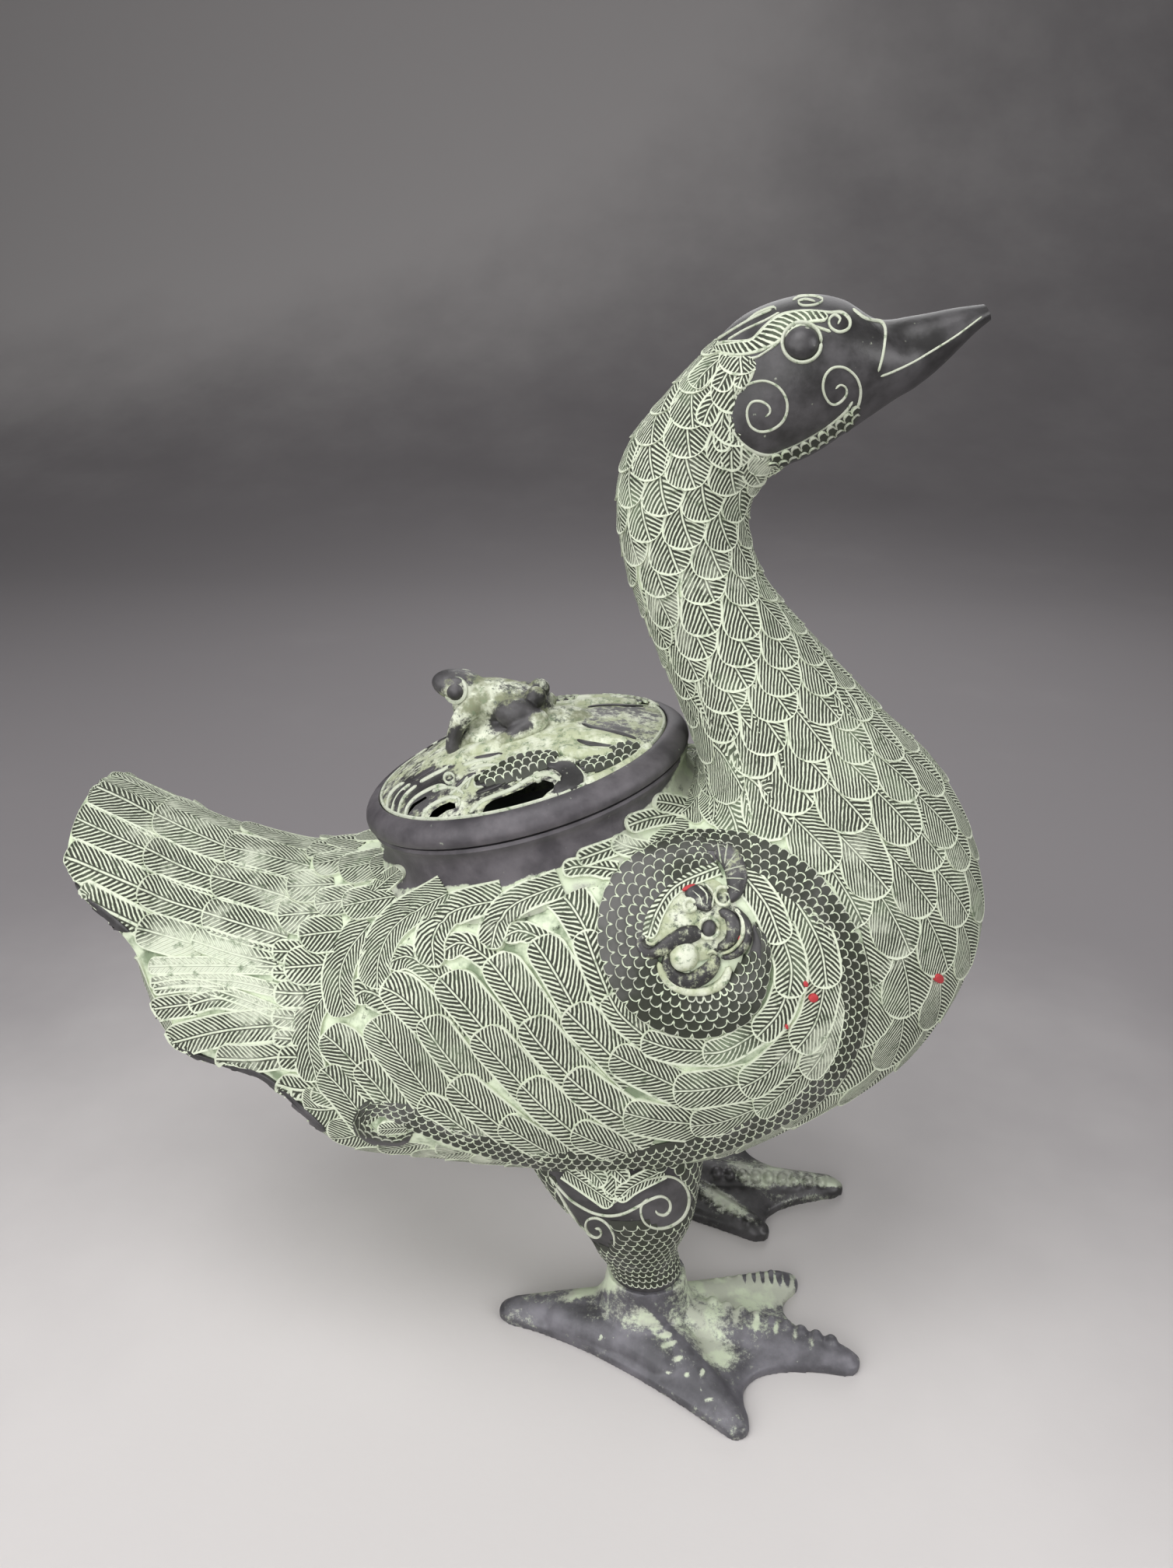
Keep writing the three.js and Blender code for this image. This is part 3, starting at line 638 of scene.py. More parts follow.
class Finish:
    """A material's nodes, built by short calls that return sockets."""

    def __init__(self, name, roughness, metallic=0.0):
        self.material = bpy.data.materials.new(name)
        self.material.use_nodes = True
        self.tree = self.material.node_tree
        self.shader = self.tree.nodes["Principled BSDF"]
        self.shader.inputs["Roughness"].default_value = roughness
        self.shader.inputs["Metallic"].default_value = metallic
        self.place = self.tree.nodes.new("ShaderNodeTexCoord").outputs["Object"]

    def put(self, socket, value):
        if isinstance(value, bpy.types.NodeSocket):
            self.tree.links.new(value, socket)
        else:
            socket.default_value = value

    def attribute(self, name):
        node = self.tree.nodes.new("ShaderNodeAttribute")
        node.attribute_name = name
        return node.outputs["Fac"]

    def math(self, operation, *values):
        node = self.tree.nodes.new("ShaderNodeMath")
        node.operation = operation
        for socket, value in zip(node.inputs, values):
            self.put(socket, value)
        return node.outputs[0]

    def smooth(self, value, low, high, to=(0.0, 1.0)):
        node = self.tree.nodes.new("ShaderNodeMapRange")
        node.interpolation_type = "SMOOTHSTEP"
        settings = (value, low, high, *to)
        for socket, setting in zip(node.inputs, settings):
            self.put(socket, setting)
        return node.outputs["Result"]

    def noise(self, per_metre, detail=3.0, roughness=0.55):
        node = self.tree.nodes.new("ShaderNodeTexNoise")
        self.put(node.inputs["Vector"], self.place)
        node.inputs["Scale"].default_value = per_metre
        node.inputs["Detail"].default_value = detail
        node.inputs["Roughness"].default_value = roughness
        return node.outputs["Fac"]

    def near(self, centre, reach):
        """1 at a place in the drawing's millimetres, fading to 0 at a reach from it."""
        node = self.tree.nodes.new("ShaderNodeVectorMath")
        node.operation = "DISTANCE"
        self.put(node.inputs[0], self.place)
        node.inputs[1].default_value = in_frame(centre).tolist()
        return self.smooth(node.outputs["Value"], reach * MM, 0.0)

    def mix(self, factor, first, second):
        node = self.tree.nodes.new("ShaderNodeMix")
        node.data_type = "RGBA"
        for name, value in (("Factor_Float", factor), ("A_Color", first), ("B_Color", second)):
            socket = next(s for s in node.inputs if s.identifier == name)
            self.put(socket, value)
        return next(s for s in node.outputs if s.identifier == "Result_Color")

    def done(self, colour, height, depth_mm, roughness=None):
        """The material, with a colour and a fine relief of a depth, and a roughness where it differs."""
        self.put(self.shader.inputs["Base Color"], colour)
        if roughness is not None:
            self.put(self.shader.inputs["Roughness"], roughness)
        bump = self.tree.nodes.new("ShaderNodeBump")
        bump.inputs["Strength"].default_value = 1.0
        bump.inputs["Distance"].default_value = depth_mm * MM
        self.put(bump.inputs["Height"], height)
        self.tree.links.new(bump.outputs["Normal"], self.shader.inputs["Normal"])
        return self.material


BARB_PITCH = 1.3
BARB_ANGLE = math.radians(48)
BARB_SPREAD = 0.24  # how much the barbs' lean differs from feather to feather
BARB_CURL = 0.03
SHAFT = 0.3
SHAFT_GROOVE = (0.42, 0.8)


def feather_finish():
    """Pale raised barbs and borders over dark grooves, with powdery patches."""
    f = Finish("feathered_patina", roughness=0.8)
    along, across, edge, tint = (f.attribute(key) for key in ("along", "across", "edge", "tint"))
    beside = f.math("ABSOLUTE", across)
    wobble = f.math("MULTIPLY", f.noise(230, 3), 1.2)
    lean = f.math("MULTIPLY_ADD", tint, BARB_SPREAD, math.cos(BARB_ANGLE) - BARB_SPREAD / 2)
    lean = f.math("MULTIPLY_ADD", beside, BARB_CURL, lean)
    run = f.math("MULTIPLY", f.math("ADD", along, wobble), math.sin(BARB_ANGLE))
    run = f.math("MULTIPLY_ADD", beside, lean, run)
    wave = f.math("COSINE", f.math("MULTIPLY", run, 2 * math.pi / BARB_PITCH))
    fine = f.noise(650, 3)
    thin = f.math("MULTIPLY_ADD", f.noise(45, 3), 1.3, -0.65)
    barb = f.smooth(f.math("SUBTRACT", f.math("MULTIPLY_ADD", fine, 0.8, wave), thin), 0.1, 0.95)
    clear = f.smooth(beside, *SHAFT_GROOVE)
    barb = f.math("MULTIPLY", barb, clear)
    shaft = f.smooth(f.math("MULTIPLY_ADD", fine, 0.2, beside), SHAFT + 0.2, SHAFT)
    border = f.smooth(f.math("MULTIPLY_ADD", fine, 0.5, edge), 1.2, 0.8)
    lines = f.math("MAXIMUM", f.math("MAXIMUM", barb, shaft), border)
    broad = f.noise(20, 3)
    patchy = f.noise(85, 4, 0.62)
    cover = f.math("MULTIPLY_ADD", tint, 0.1, f.math("ADD", broad, patchy))
    cover = f.math("ADD", cover, f.attribute("wear"))
    powder = f.smooth(cover, 1.18, 1.5)
    paint = f.math("MAXIMUM", f.math("MULTIPLY", lines, 0.95), f.math("MULTIPLY", powder, 0.88))
    pale = f.mix(patchy, PALE, PALE_WARM)
    pale = f.mix(f.smooth(f.noise(300, 4, 0.7), 0.52, 0.74), pale, GROOVE_GREEN)
    groove = f.mix(f.smooth(f.noise(60, 3), 0.5, 0.85), GROOVE, GROOVE_GREEN)
    colour = f.mix(paint, groove, pale)
    height = f.math("MULTIPLY_ADD", fine, 0.35, lines)
    return f.done(colour, height, 0.3)


def scale_finish():
    """Dark scales with pale raised borders."""
    f = Finish("dark_scales", roughness=0.55, metallic=0.2)
    edge = f.attribute("edge")
    rough = f.noise(500, 3)
    border = f.smooth(f.math("MULTIPLY_ADD", rough, 0.3, edge), 0.66, 0.44)
    dark = f.mix(f.smooth(f.noise(70, 3), 0.4, 0.7), SCALE_DARK, GROOVE)
    dusty = f.smooth(f.math("ADD", f.noise(55, 4), f.attribute("wear")), 0.5, 0.8)
    dark = f.mix(f.math("MULTIPLY", dusty, 0.55), dark, MAUVE)
    line = f.mix(f.smooth(f.noise(200, 3), 0.4, 0.6), DUST, PALE)
    return f.done(f.mix(f.math("MULTIPLY", border, 0.95), dark, line), f.math("ADD", border, rough), 0.15)


def line_finish():
    """Pale raised lines, worn through here and there."""
    f = Finish("pale_lines", roughness=0.8)
    patchy = f.noise(120, 4, 0.6)
    fine = f.noise(600, 3)
    colour = f.mix(f.smooth(patchy, 0.3, 0.7), LINE_PALE, LINE_WARM)
    colour = f.mix(f.smooth(f.noise(420, 4, 0.7), 0.54, 0.68), colour, GROOVE_GREEN)
    return f.done(colour, f.math("ADD", fine, patchy), 0.15)


def patina_finish():
    """Plain powdery patina between the feathers."""
    f = Finish("plain_patina", roughness=0.85)
    patchy = f.noise(90, 4, 0.6)
    fine = f.noise(500, 3)
    colour = f.mix(f.smooth(patchy, 0.35, 0.55), GROOVE_GREEN, PALE)
    colour = f.mix(f.smooth(f.noise(240, 4, 0.7), 0.6, 0.72), colour, GROOVE)
    return f.done(colour, f.math("ADD", fine, patchy), 0.2)


def bronze_finish(name, specks=0.5, dust=0.0, patches=0.0, tones=(BRONZE_DARK, BRONZE),
                  roughness=(0.38, 0.56)):
    """Satin bronze with soft clouds and grain. dust whitens raised edges, and patches adds pale powder, which
    the mark pale thickens."""
    f = Finish(name, roughness=0.46, metallic=0.3)
    patchy = f.noise(60, 5, 0.6)
    fine = f.noise(800, 3)
    colour = f.mix(f.smooth(patchy, 0.35, 0.7), *tones)
    pale = f.math("MULTIPLY", f.smooth(f.noise(300, 3), 0.7, 0.77), specks)
    if dust:
        edge = f.math("MULTIPLY_ADD", fine, 0.4, f.attribute("edge"))
        pale = f.math("MAXIMUM", pale, f.math("MULTIPLY", f.smooth(edge, 0.75, 0.4), dust))
    if patches:
        broad = f.math("MULTIPLY", f.noise(75, 4, 0.6), 0.7)
        cover = f.math("MULTIPLY_ADD", f.noise(420, 6, 0.8), 1.3, broad)
        cover = f.math("ADD", cover, f.attribute("pale"))
        pale = f.math("MAXIMUM", pale, f.math("MULTIPLY", f.smooth(cover, 1.24, 1.58), patches))
    powder = f.mix(f.smooth(f.noise(120, 3), 0.4, 0.6), DUST, PALE)
    colour = f.mix(pale, colour, powder)
    rough = f.math("MAXIMUM", f.smooth(patchy, 0.3, 0.8, roughness), f.math("MULTIPLY", pale, 0.85))
    return f.done(colour, fine, 0.06, rough)


def painted_finish(name, mark, olive=OLIVE):
    """Powdery pale patina that gives way to dark bronze where a mark says so, with ragged borders."""
    f = Finish(name, roughness=0.6, metallic=0.2)
    patchy = f.noise(110, 4, 0.65)
    ragged = f.noise(330, 6, 0.75)
    fine = f.noise(620, 3)
    pale = f.mix(f.smooth(patchy, 0.4, 0.62), olive, PALE_WARM)
    pale = f.mix(f.smooth(ragged, 0.5, 0.66), pale, GROOVE_GREEN)
    dark = f.mix(f.smooth(f.noise(60, 4), 0.35, 0.7), BRONZE_DARK, BRONZE)
    cover = f.math("MULTIPLY_ADD", ragged, 1.5, f.math("MULTIPLY", patchy, 0.7))
    cover = f.math("ADD", cover, f.attribute(mark))
    share = f.smooth(cover, 1.42, 1.72)
    rough = f.smooth(share, 0.0, 1.0, (0.85, 0.45))
    return f.done(f.mix(share, pale, dark), f.math("ADD", fine, ragged), 0.16, rough)


FEATHER = feather_finish()
SCALE = scale_finish()
LINE = line_finish()
PATINA = patina_finish()
DARK = bronze_finish("dark_bronze")
EDGED = bronze_finish("dusty_bronze", dust=0.6)
MOTTLED = painted_finish("powdered_bronze", "dark")
PLATE_POWDER = painted_finish("powdered_plate", "dark", POWDER_OLIVE)
POWDER = painted_finish("powdered_relief", "tint", POWDER_OLIVE)
LID_BRONZE = bronze_finish("lid_bronze", specks=0.4, tones=(RIM_DARK, RIM_BRONZE), roughness=(0.46, 0.62))
COLLAR_FINISH = bronze_finish("collar_bronze", specks=0.4, patches=0.9, tones=(RIM_DARK, RIM_BRONZE),
                              roughness=(0.46, 0.62))
# Painted shade: a dark finish for the jar's inner faces, standing in for the shade inside it
INSIDE_PAINTED_SHADE = bronze_finish("inside_painted_shade", specks=0.0, tones=(BRONZE_DARK, BRONZE_DARK), roughness=(0.8, 0.9))


# Shells under the feathers

def loft_solid(low, high, grow=None, every=1):
    """A closed solid of the dressed duck between two rows, or of the plain loft grown by a distance."""
    rows = slice(round(low * STEPS_PER_ROW), round(high * STEPS_PER_ROW) + 1, every)
    rings = DRESSED[rows] if grow is None else RINGS[rows] + NORMALS[rows] * grow
    return closed_rings(rings[:, ::every])


def circles(profile, at, axis, around):
    """Rings of points round an axis, from pairs of radius and height."""
    axis = unit(np.asarray(axis, float))
    side = unit(np.cross(axis, [0.0, 1.0, 0.0] if abs(axis[1]) < 0.9 else [1.0, 0.0, 0.0]))
    other = np.cross(axis, side)
    angle = turns(around)
    circle = np.cos(angle)[:, None] * side + np.sin(angle)[:, None] * other
    return np.array([at + circle * radius + axis * height for radius, height in profile])


def looped_rings(rings):
    """Points and faces of a ring-shaped solid: the last ring of points joins the first."""
    rings = np.asarray(rings)
    closed = np.concatenate([rings, rings[:1]])
    faces = ring_faces(*closed.shape[:2]) % (rings.shape[0] * rings.shape[1])
    return rings.reshape(-1, 3), faces.tolist()


TAIL_END = 6.5
NECK_START = 17.0
HEAD_START = 22.6
BILL_START = 27.3
MOUTH_CUT = MOUTH_RADIUS + 1.2
MOUTH_BOTTOM, MOUTH_TOP = -45, 40  # of the cut through the back, along the mouth's axis


def body_shell():
    """The hollow body with its open mouth. Faces that lie away from the outer skin, inside it, take a dark
    finish, which is painted shade.
    """
    shell = make_object("jar_body", *loft_solid(TAIL_END, NECK_START), PATINA)
    hollow = plain_object("hollow", *loft_solid(TAIL_END + 1, NECK_START - 0.5, -WALL, 2))
    rod = circles([(MOUTH_CUT, MOUTH_BOTTOM), (MOUTH_CUT, MOUTH_TOP)], MOUTH, MOUTH_AXIS, 96)
    mouth = plain_object("mouth", *closed_rings(rod))
    cut(shell, [hollow, mouth])
    # The second finish paints shade on the inner faces, those away from the outer skin
    shell.data.materials.append(INSIDE_PAINTED_SHADE)
    for face in shell.data.polygons:
        centre = Vector(face.center) / MM - Vector((CENTRE_X, 0, 0))
        face.material_index = int(SKIN_TREE.find_nearest(centre)[3] > WALL / 2)
    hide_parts("body_shell")


def tail_shell():
    """The tail fan, vaulted from below."""
    shell = make_object("tail", *loft_solid(0, TAIL_END), PATINA)
    thickness, depth, columns, first = 5.0, 90, 41, 5
    rings = []
    for row in range(first, round((TAIL_END + 0.5) * STEPS_PER_ROW), 2):
        ring, normals = RINGS[row], NORMALS[row]
        near = int(np.argmin(ring[:, 1]))
        turns = np.linspace(-near, near, columns).astype(int) % AROUND
        arch = ring[turns] - normals[turns] * thickness
        floor = arch[::-1] - [0, 0, depth]
        floor[:, 2] = ring[:, 2].min() - depth / 3
        rings.append(np.concatenate([arch, floor]))
    vault = plain_object("vault", *closed_rings(rings))
    cut(shell, [vault])
    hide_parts("tail_fan")


def neck_and_head():
    for name, node, low, high, finish, slot in (
        ("neck", "neck_shell", NECK_START, HEAD_START, PATINA, "patina"),
        ("head", "head_shell", HEAD_START, BILL_START, DARK, "dark_bronze"),
        ("bill_casting", "bill", BILL_START, LAST_ROW, DARK, "dark_bronze"),
    ):
        piece = make_object(name, *loft_solid(low, high), finish)
        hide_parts(node)


body_shell()
tail_shell()
neck_and_head()


# The collar's shape. The lid's own frame has u forwards, v to the duck's left and w up its axis.

def from_lid(points):
    u, v, w = np.moveaxis(np.asarray(points, float), -1, 0)
    return MOUTH + u[..., None] * MOUTH_FORWARD + v[..., None] * [0, 1, 0] + w[..., None] * MOUTH_AXIS


def around_lid(loop_at):
    """Rings of a lathe round the lid's axis. loop_at gives the radius and height pairs at an angle."""
    rings = []
    for angle in turns(180):
        loop = np.array(loop_at(angle))
        points = np.stack([loop[:, 0] * math.cos(angle), loop[:, 0] * math.sin(angle), loop[:, 1]], axis=1)
        rings.append(from_lid(points))
    return np.array(rings)


# Heights and radii of the collar's outside, and how far it flares where it stands on the skin
COLLAR_OUTSIDE = [(-60, 58.5), (-22, 58.5), (-18, 57.2), (-14, 56.0), (-6, 55.4), (-3.2, 55.8), (-2.0, 56.9),
                  (-0.9, 57.1), (-0.3, 56.6)]
COLLAR_TOP = -0.3
FLARE, FLARE_REACH = 2.4, 2.2
PROBE_RADIUS, PROBE_HEIGHT = 57, 6  # from here the skin under the collar is looked for


def collar_loop(angle):
    x, y = PROBE_RADIUS * math.cos(angle), PROBE_RADIUS * math.sin(angle)
    start = from_lid(np.array([x, y, PROBE_HEIGHT]))
    _, _, _, drop = SKIN_TREE.ray_cast(Vector(start), Vector(-MOUTH_AXIS))
    surface = PROBE_HEIGHT - drop
    foot = surface - 2
    heights = np.linspace(foot, COLLAR_TOP, 22)
    spread = FLARE * np.exp(-np.maximum(heights - surface, 0) / FLARE_REACH)
    radii = np.interp(heights, *np.array(COLLAR_OUTSIDE).T) + spread
    inner = [(MOUTH_RADIUS + 0.6, COLLAR_TOP), (MOUTH_RADIUS, COLLAR_TOP - 0.6), (MOUTH_RADIUS, foot)]
    return [*zip(radii, heights), *inner]


def joined(meshes):
    """Several meshes' points and faces as one mesh's."""
    points, faces, count = [], [], 0
    for at, around in meshes:
        points.append(np.asarray(at))
        faces.extend([[corner + count for corner in face] for face in around])
        count += len(at)
    return np.concatenate(points), faces


# The skin and the collar together, for the feathers that climb the collar
COLLAR = looped_rings(around_lid(collar_loop))
CLOAK_POINTS, CLOAK_FACES = joined([(SKIN_POINTS, SKIN_FACES), COLLAR])
CLOAK_SIDES = both_sides(BVHTree.FromPolygons(CLOAK_POINTS.tolist(), CLOAK_FACES))


# Feathers on the loft

# Covered by the wing and the coverts round it, in photo pixels
WING_COVERED = [
    (412, 1400), (392, 1372), (385, 1300), (402, 1268), (428, 1262), (424, 1232), (442, 1200), (470, 1192),
    (490, 1165), (560, 1140), (640, 1135), (700, 1118), (745, 1108), (790, 1098), (830, 1084), (880, 1072),
    (960, 1074), (1020, 1095), (1072, 1138), (1108, 1200), (1117, 1280), (1103, 1338), (1074, 1386),
    (1028, 1426), (960, 1462), (900, 1486), (820, 1503), (700, 1500), (600, 1478), (540, 1466), (470, 1466),
    (440, 1440), (420, 1415),
]
# The smooth part of the head, from the nape's edge round the cheek and out past the bill
FACE = [
    (912, 446), (922, 440), (900, 380), (1000, 300), (1300, 300), (1300, 450), (1150, 560), (1060, 590),
    (1010, 600), (985, 588), (962, 580), (944, 560), (936, 536), (942, 514), (956, 497), (968, 480),
    (970, 460), (940, 459),
]
FACE_TUCK = 1.8
# Covered by the drawn tail and rump feathers
TAIL_COVERED = [
    (40, 940), (160, 960), (320, 1040), (480, 1050), (506, 1100), (516, 1150), (500, 1178), (455, 1208),
    (437, 1242), (410, 1278), (398, 1310), (402, 1360), (420, 1395), (436, 1410), (400, 1424), (372, 1440),
    (250, 1400), (160, 1330), (40, 1200),
]


def on_outline(points, outline, margin):
    return inside(to_photo(near_side(points)), outline) > margin


def facing(point, normal):
    """Whether a place on the duck, or its mirror, faces the camera."""
    near = near_side(point)
    return near_side(normal) @ (CAMERA_EYE - near) > 0


def tucked(place):
    """The same places, sunk under the skin where they cross the smooth face."""
    def sunk(*at):
        points, normals = place(*at)
        depth = FACE_TUCK * smooth(inside(to_photo(near_side(points)), FACE), 0, 6)
        return points - normals * depth[..., None], normals

    return sunk


COLLAR_MIDDLE = 53  # radius of the middle of the collar's wall
MOUTH_REACH = (-60, 15)  # how far the mouth counts, down and up its axis


def from_mouth(points):
    """Distances from the mouth's axis, the ways out from it and whether points are at the mouth's height."""
    rise = (points - MOUTH) @ MOUTH_AXIS
    out = points - MOUTH - rise[..., None] * MOUTH_AXIS
    low, high = MOUTH_REACH
    return np.linalg.norm(out, axis=-1), unit(out), (rise > low) & (rise < high)


def off_mouth(points):
    """Points, with those over the open mouth moved out into the collar's wall."""
    radius, out, level = from_mouth(points)
    push = np.where(level, np.maximum(COLLAR_MIDDLE - radius, 0), 0)
    return points + out * push[..., None]


def walk(start, stop, pitch, s=0.27):
    """Rows between start and stop, a pitch apart along the duck's side."""
    fine = np.linspace(start, stop, 400)
    line, _ = on_loft(fine, np.full(400, s))
    travelled = np.concatenate([[0], np.cumsum(np.linalg.norm(np.diff(line, axis=0), axis=1))])
    return [float(row) for row in np.interp(np.arange(0, travelled[-1], pitch), travelled, fine)]


def loft_feather(patches, row, turn, half, length, hang=0.0, **shape):
    """A feather on the loft with its tip at a row and a turn, unless the wing, the drawn tail or the face
    covers it or the mouth is there. hang turns it from the loft's direction, in degrees at most, until it
    hangs straight down."""
    girth = girth_at(row)
    corners, (normal, _, _) = on_loft(np.array([row, row + 0.1, row]), np.array([turn, turn, turn + 0.01]))
    rate = 0.1 / max(np.linalg.norm(corners[1] - corners[0]), 0.9)
    ways = turned = unit(corners[1:] - corners[0])
    if hang:
        upright = unit(UP - normal * normal[2])
        lean = math.atan2(np.cross(ways[0], upright) @ normal, ways[0] @ upright)
        lean = max(-math.radians(hang), min(math.radians(hang), lean))
        root = ways[0] * math.cos(lean) + np.cross(normal, ways[0]) * math.sin(lean)
        side = np.cross(normal, root)
        turned = np.array([root, side * np.sign(side @ ways[1])])
    share = turned @ np.linalg.pinv(ways)

    def place(along, across):
        up = along * share[0, 0] + across * share[1, 0]
        over = along * share[0, 1] + across * share[1, 1]
        points, normals = on_loft(row + up * rate, turn + over / girth)
        return off_mouth(points + normals * SKIN), normals

    middle, (out,) = place(np.array([length * 0.35]), np.array([0.0]))
    corners, _ = place(np.array([0.0, 0.3]) * length, np.array([0, 0]) * half)
    if on_outline(middle, WING_COVERED, 5)[0] or on_outline(corners, FACE, 5).any():
        return
    if on_outline(middle, TAIL_COVERED, 0)[0] and facing(middle[0], out):
        return
    bare, _ = on_loft(np.array([row + length * 0.35 * rate]), np.array([turn]))
    radius, _, level = from_mouth(bare)
    if level[0] and radius[0] < MOUTH_RADIUS:
        return
    if row > HEAD_START - 2:
        place = tucked(place)
    plume(patches, place, (half, half), length, 3.0, **shape)


# Names, rows from one place to the next, how many feathers go round, the pitch of the rows, the length and
# how far the feathers may turn to hang down
FEATHER_ZONES = [
    ("neck_feathers", 26.2, 19.6, 10, 9.0, 17, 30),
    ("nape_feathers", 19.6, 17.9, 12, 10.5, 20, 30),
    ("breast_feathers", 17.9, 15.8, 15, 12.5, 24, 30),
    ("chest_feathers", 15.8, 11.0, 18, 13.5, 26, 8),
    ("flank_feathers", 11.0, 6.9, 23, 11.0, 20, 0),
    ("rump_feathers", 6.9, 5.3, 24, 9.5, 16, 0),
]
CROWDED = 0.6  # a feather's tip stays this share of the row pitch away from the tips already there
OVERLAP = 1.06  # a feather's width over its share of the girth
SHAFT_SLANT = 26


def loft_feathers():
    tips = np.empty((0, 3))
    side_step = 0
    for name, start, stop, count, pitch, length, hang in FEATHER_ZONES:
        patches = Patches()
        for row in walk(start, stop, pitch):
            girth = girth_at(row)
            half = girth / count / 2 * OVERLAP
            for k in range(count):
                turn = (k + 0.5 * (side_step % 2)) / count
                tip, _ = on_loft(np.array([row]), np.array([turn]))
                if len(tips) and np.linalg.norm(tips - tip, axis=1).min() < CROWDED * pitch:
                    continue
                tips = np.concatenate([tips, tip])
                slant = SHAFT_SLANT if 0 < turn < 0.5 else -SHAFT_SLANT
                loft_feather(patches, row, turn, half, length, hang, slant=slant, lift=(0.1, 0.8))
            side_step += 1
        patches.build(name, FEATHER)


# The tail's hidden strips, below and behind those drawn on the photo: the row of their tips, their length
# and how many would go all the way round
TAIL_ROWS = [(4.35, 36, 22), (2.05, 42, 17), (0.03, 34, 12)]
TAIL_OPEN = (0.36, 0.64)  # the turns left free on the vaulted underside


def tail_feathers():
    patches = Patches()
    for row, length, count in TAIL_ROWS:
        girth = girth_at(row)
        for k in range(count):
            turn = (k + 0.5) / count
            if TAIL_OPEN[0] < turn < TAIL_OPEN[1]:
                continue
            loft_feather(patches, row, turn, girth / count / 2, length, tip=0.75, lift=(0.1, 1.0), dome=0.35)
    patches.build("tail_feathers", FEATHER)


loft_feathers()
tail_feathers()


# The tail, the rump and the wing, drawn on the photo. Each feather is its shaft from tip to root and its two
# half-widths, in photo pixels: the side below or outside the shaft first.

TAIL_OUTER = [
    ([(118, 1013), (163, 1032), (206, 1054)], (26, 24)),
    ([(98, 1054), (150, 1077), (196, 1097)], (25, 24)),
    ([(85, 1100), (137, 1123), (188, 1145)], (25, 26)),
    ([(102, 1149), (148, 1174), (190, 1196)], (14, 24)),
]
TAIL_MIDDLE = [
    ([(197, 1049), (246, 1071), (302, 1094)], (23, 24)),
    ([(186, 1092), (240, 1117), (282, 1131)], (24, 23)),
    ([(177, 1142), (222, 1160), (274, 1175)], (21, 28)),
    ([(176, 1192), (215, 1203), (262, 1217)], (24, 25)),
]
TAIL_INNER = [
    ([(288, 1091), (340, 1101), (398, 1114)], (23, 20)),
    ([(272, 1128), (322, 1140), (380, 1157)], (28, 24)),
    ([(262, 1173), (310, 1188), (370, 1206)], (25, 25)),
    ([(248, 1208), (300, 1226), (356, 1240)], (12, 23)),
]
TAIL_LOBE = [
    ([(192, 1241), (270, 1241), (358, 1243)], (11, 12)),
    ([(196, 1262), (290, 1260), (362, 1275)], (9, 10)),
    ([(200, 1270), (250, 1266), (300, 1279), (366, 1305)], (9, 9)),
    ([(196, 1296), (222, 1293), (252, 1290)], (17, 15)),
    ([(246, 1291), (280, 1283), (325, 1290)], (14, 11)),
    ([(216, 1340), (290, 1324), (366, 1317)], (21, 23)),
    ([(280, 1358), (325, 1361), (368, 1357)], (17, 20)),
]
RUMP = [
    ([(394, 1101), (420, 1099), (450, 1094)], (6, 8)),
    ([(403, 1114), (425, 1110), (462, 1098)], (18, 12)),
    ([(437, 1122), (460, 1116), (494, 1107)], (22, 18)),
    ([(478, 1120), (500, 1114), (520, 1108)], (22, 16)),
    ([(369, 1143), (390, 1141), (430, 1137)], (22, 20)),
    ([(358, 1180), (380, 1177), (412, 1173)], (27, 24)),
    ([(407, 1166), (430, 1161), (458, 1156)], (18, 20)),
    ([(443, 1168), (470, 1161), (508, 1153)], (22, 20)),
    ([(386, 1206), (400, 1203), (442, 1197)], (26, 23)),
    ([(352, 1224), (372, 1224), (390, 1224)], (16, 16)),
    ([(367, 1245), (390, 1243), (420, 1240)], (25, 27)),
    ([(352, 1251), (366, 1251), (378, 1251)], (11, 10)),
    ([(355, 1275), (378, 1277), (400, 1277)], (20, 17)),
    ([(352, 1305), (368, 1308), (386, 1310)], (14, 12)),
    ([(354, 1332), (368, 1334), (388, 1336)], (12, 12)),
    ([(360, 1357), (380, 1358), (402, 1360)], (18, 16)),
    ([(358, 1390), (380, 1398), (406, 1401)], (14, 18)),
    ([(403, 1400), (420, 1405), (444, 1412)], (16, 15)),
]
# The lower edge of the tail, dark bronze with painted shade along it, with its half-widths
TAIL_DARK_SHADED_EDGES = [
    [(95, 1136, 2), (108, 1152, 5), (128, 1171, 8), (150, 1187, 6), (168, 1197, 2)],
    [(224, 1338, 2), (246, 1354, 5), (275, 1366, 5), (305, 1373, 5), (335, 1383, 5), (360, 1401, 6),
     (380, 1420, 7), (400, 1437, 6), (420, 1452, 2)],
]
WING_COVERTS = [
    ([(412, 1388), (399, 1340), (405, 1300), (432, 1266)], (16, 24)),
    ([(450, 1308), (440, 1262), (450, 1225), (478, 1188)], (18, 26)),
    ([(489, 1272), (492, 1228), (515, 1188), (577, 1148)], (17, 27)),
    ([(563, 1245), (560, 1206), (586, 1172), (648, 1156)], (17, 26)),
    ([(634, 1223), (643, 1186), (668, 1160), (722, 1138)], (16, 23)),
]
COLLAR_FEATHERS = [
    ([(519, 1115), (500, 1132), (476, 1152)], (11, 11)),
    ([(838, 1030), (860, 1034), (890, 1042)], (14, 14)),
    ([(803, 1062), (830, 1053), (868, 1048)], (14, 13)),
    ([(786, 1078), (808, 1090), (838, 1096)], (15, 14)),
    ([(741, 1105), (764, 1097), (796, 1086)], (14, 12)),
    ([(722, 1118), (752, 1114), (794, 1120)], (14, 13)),
]
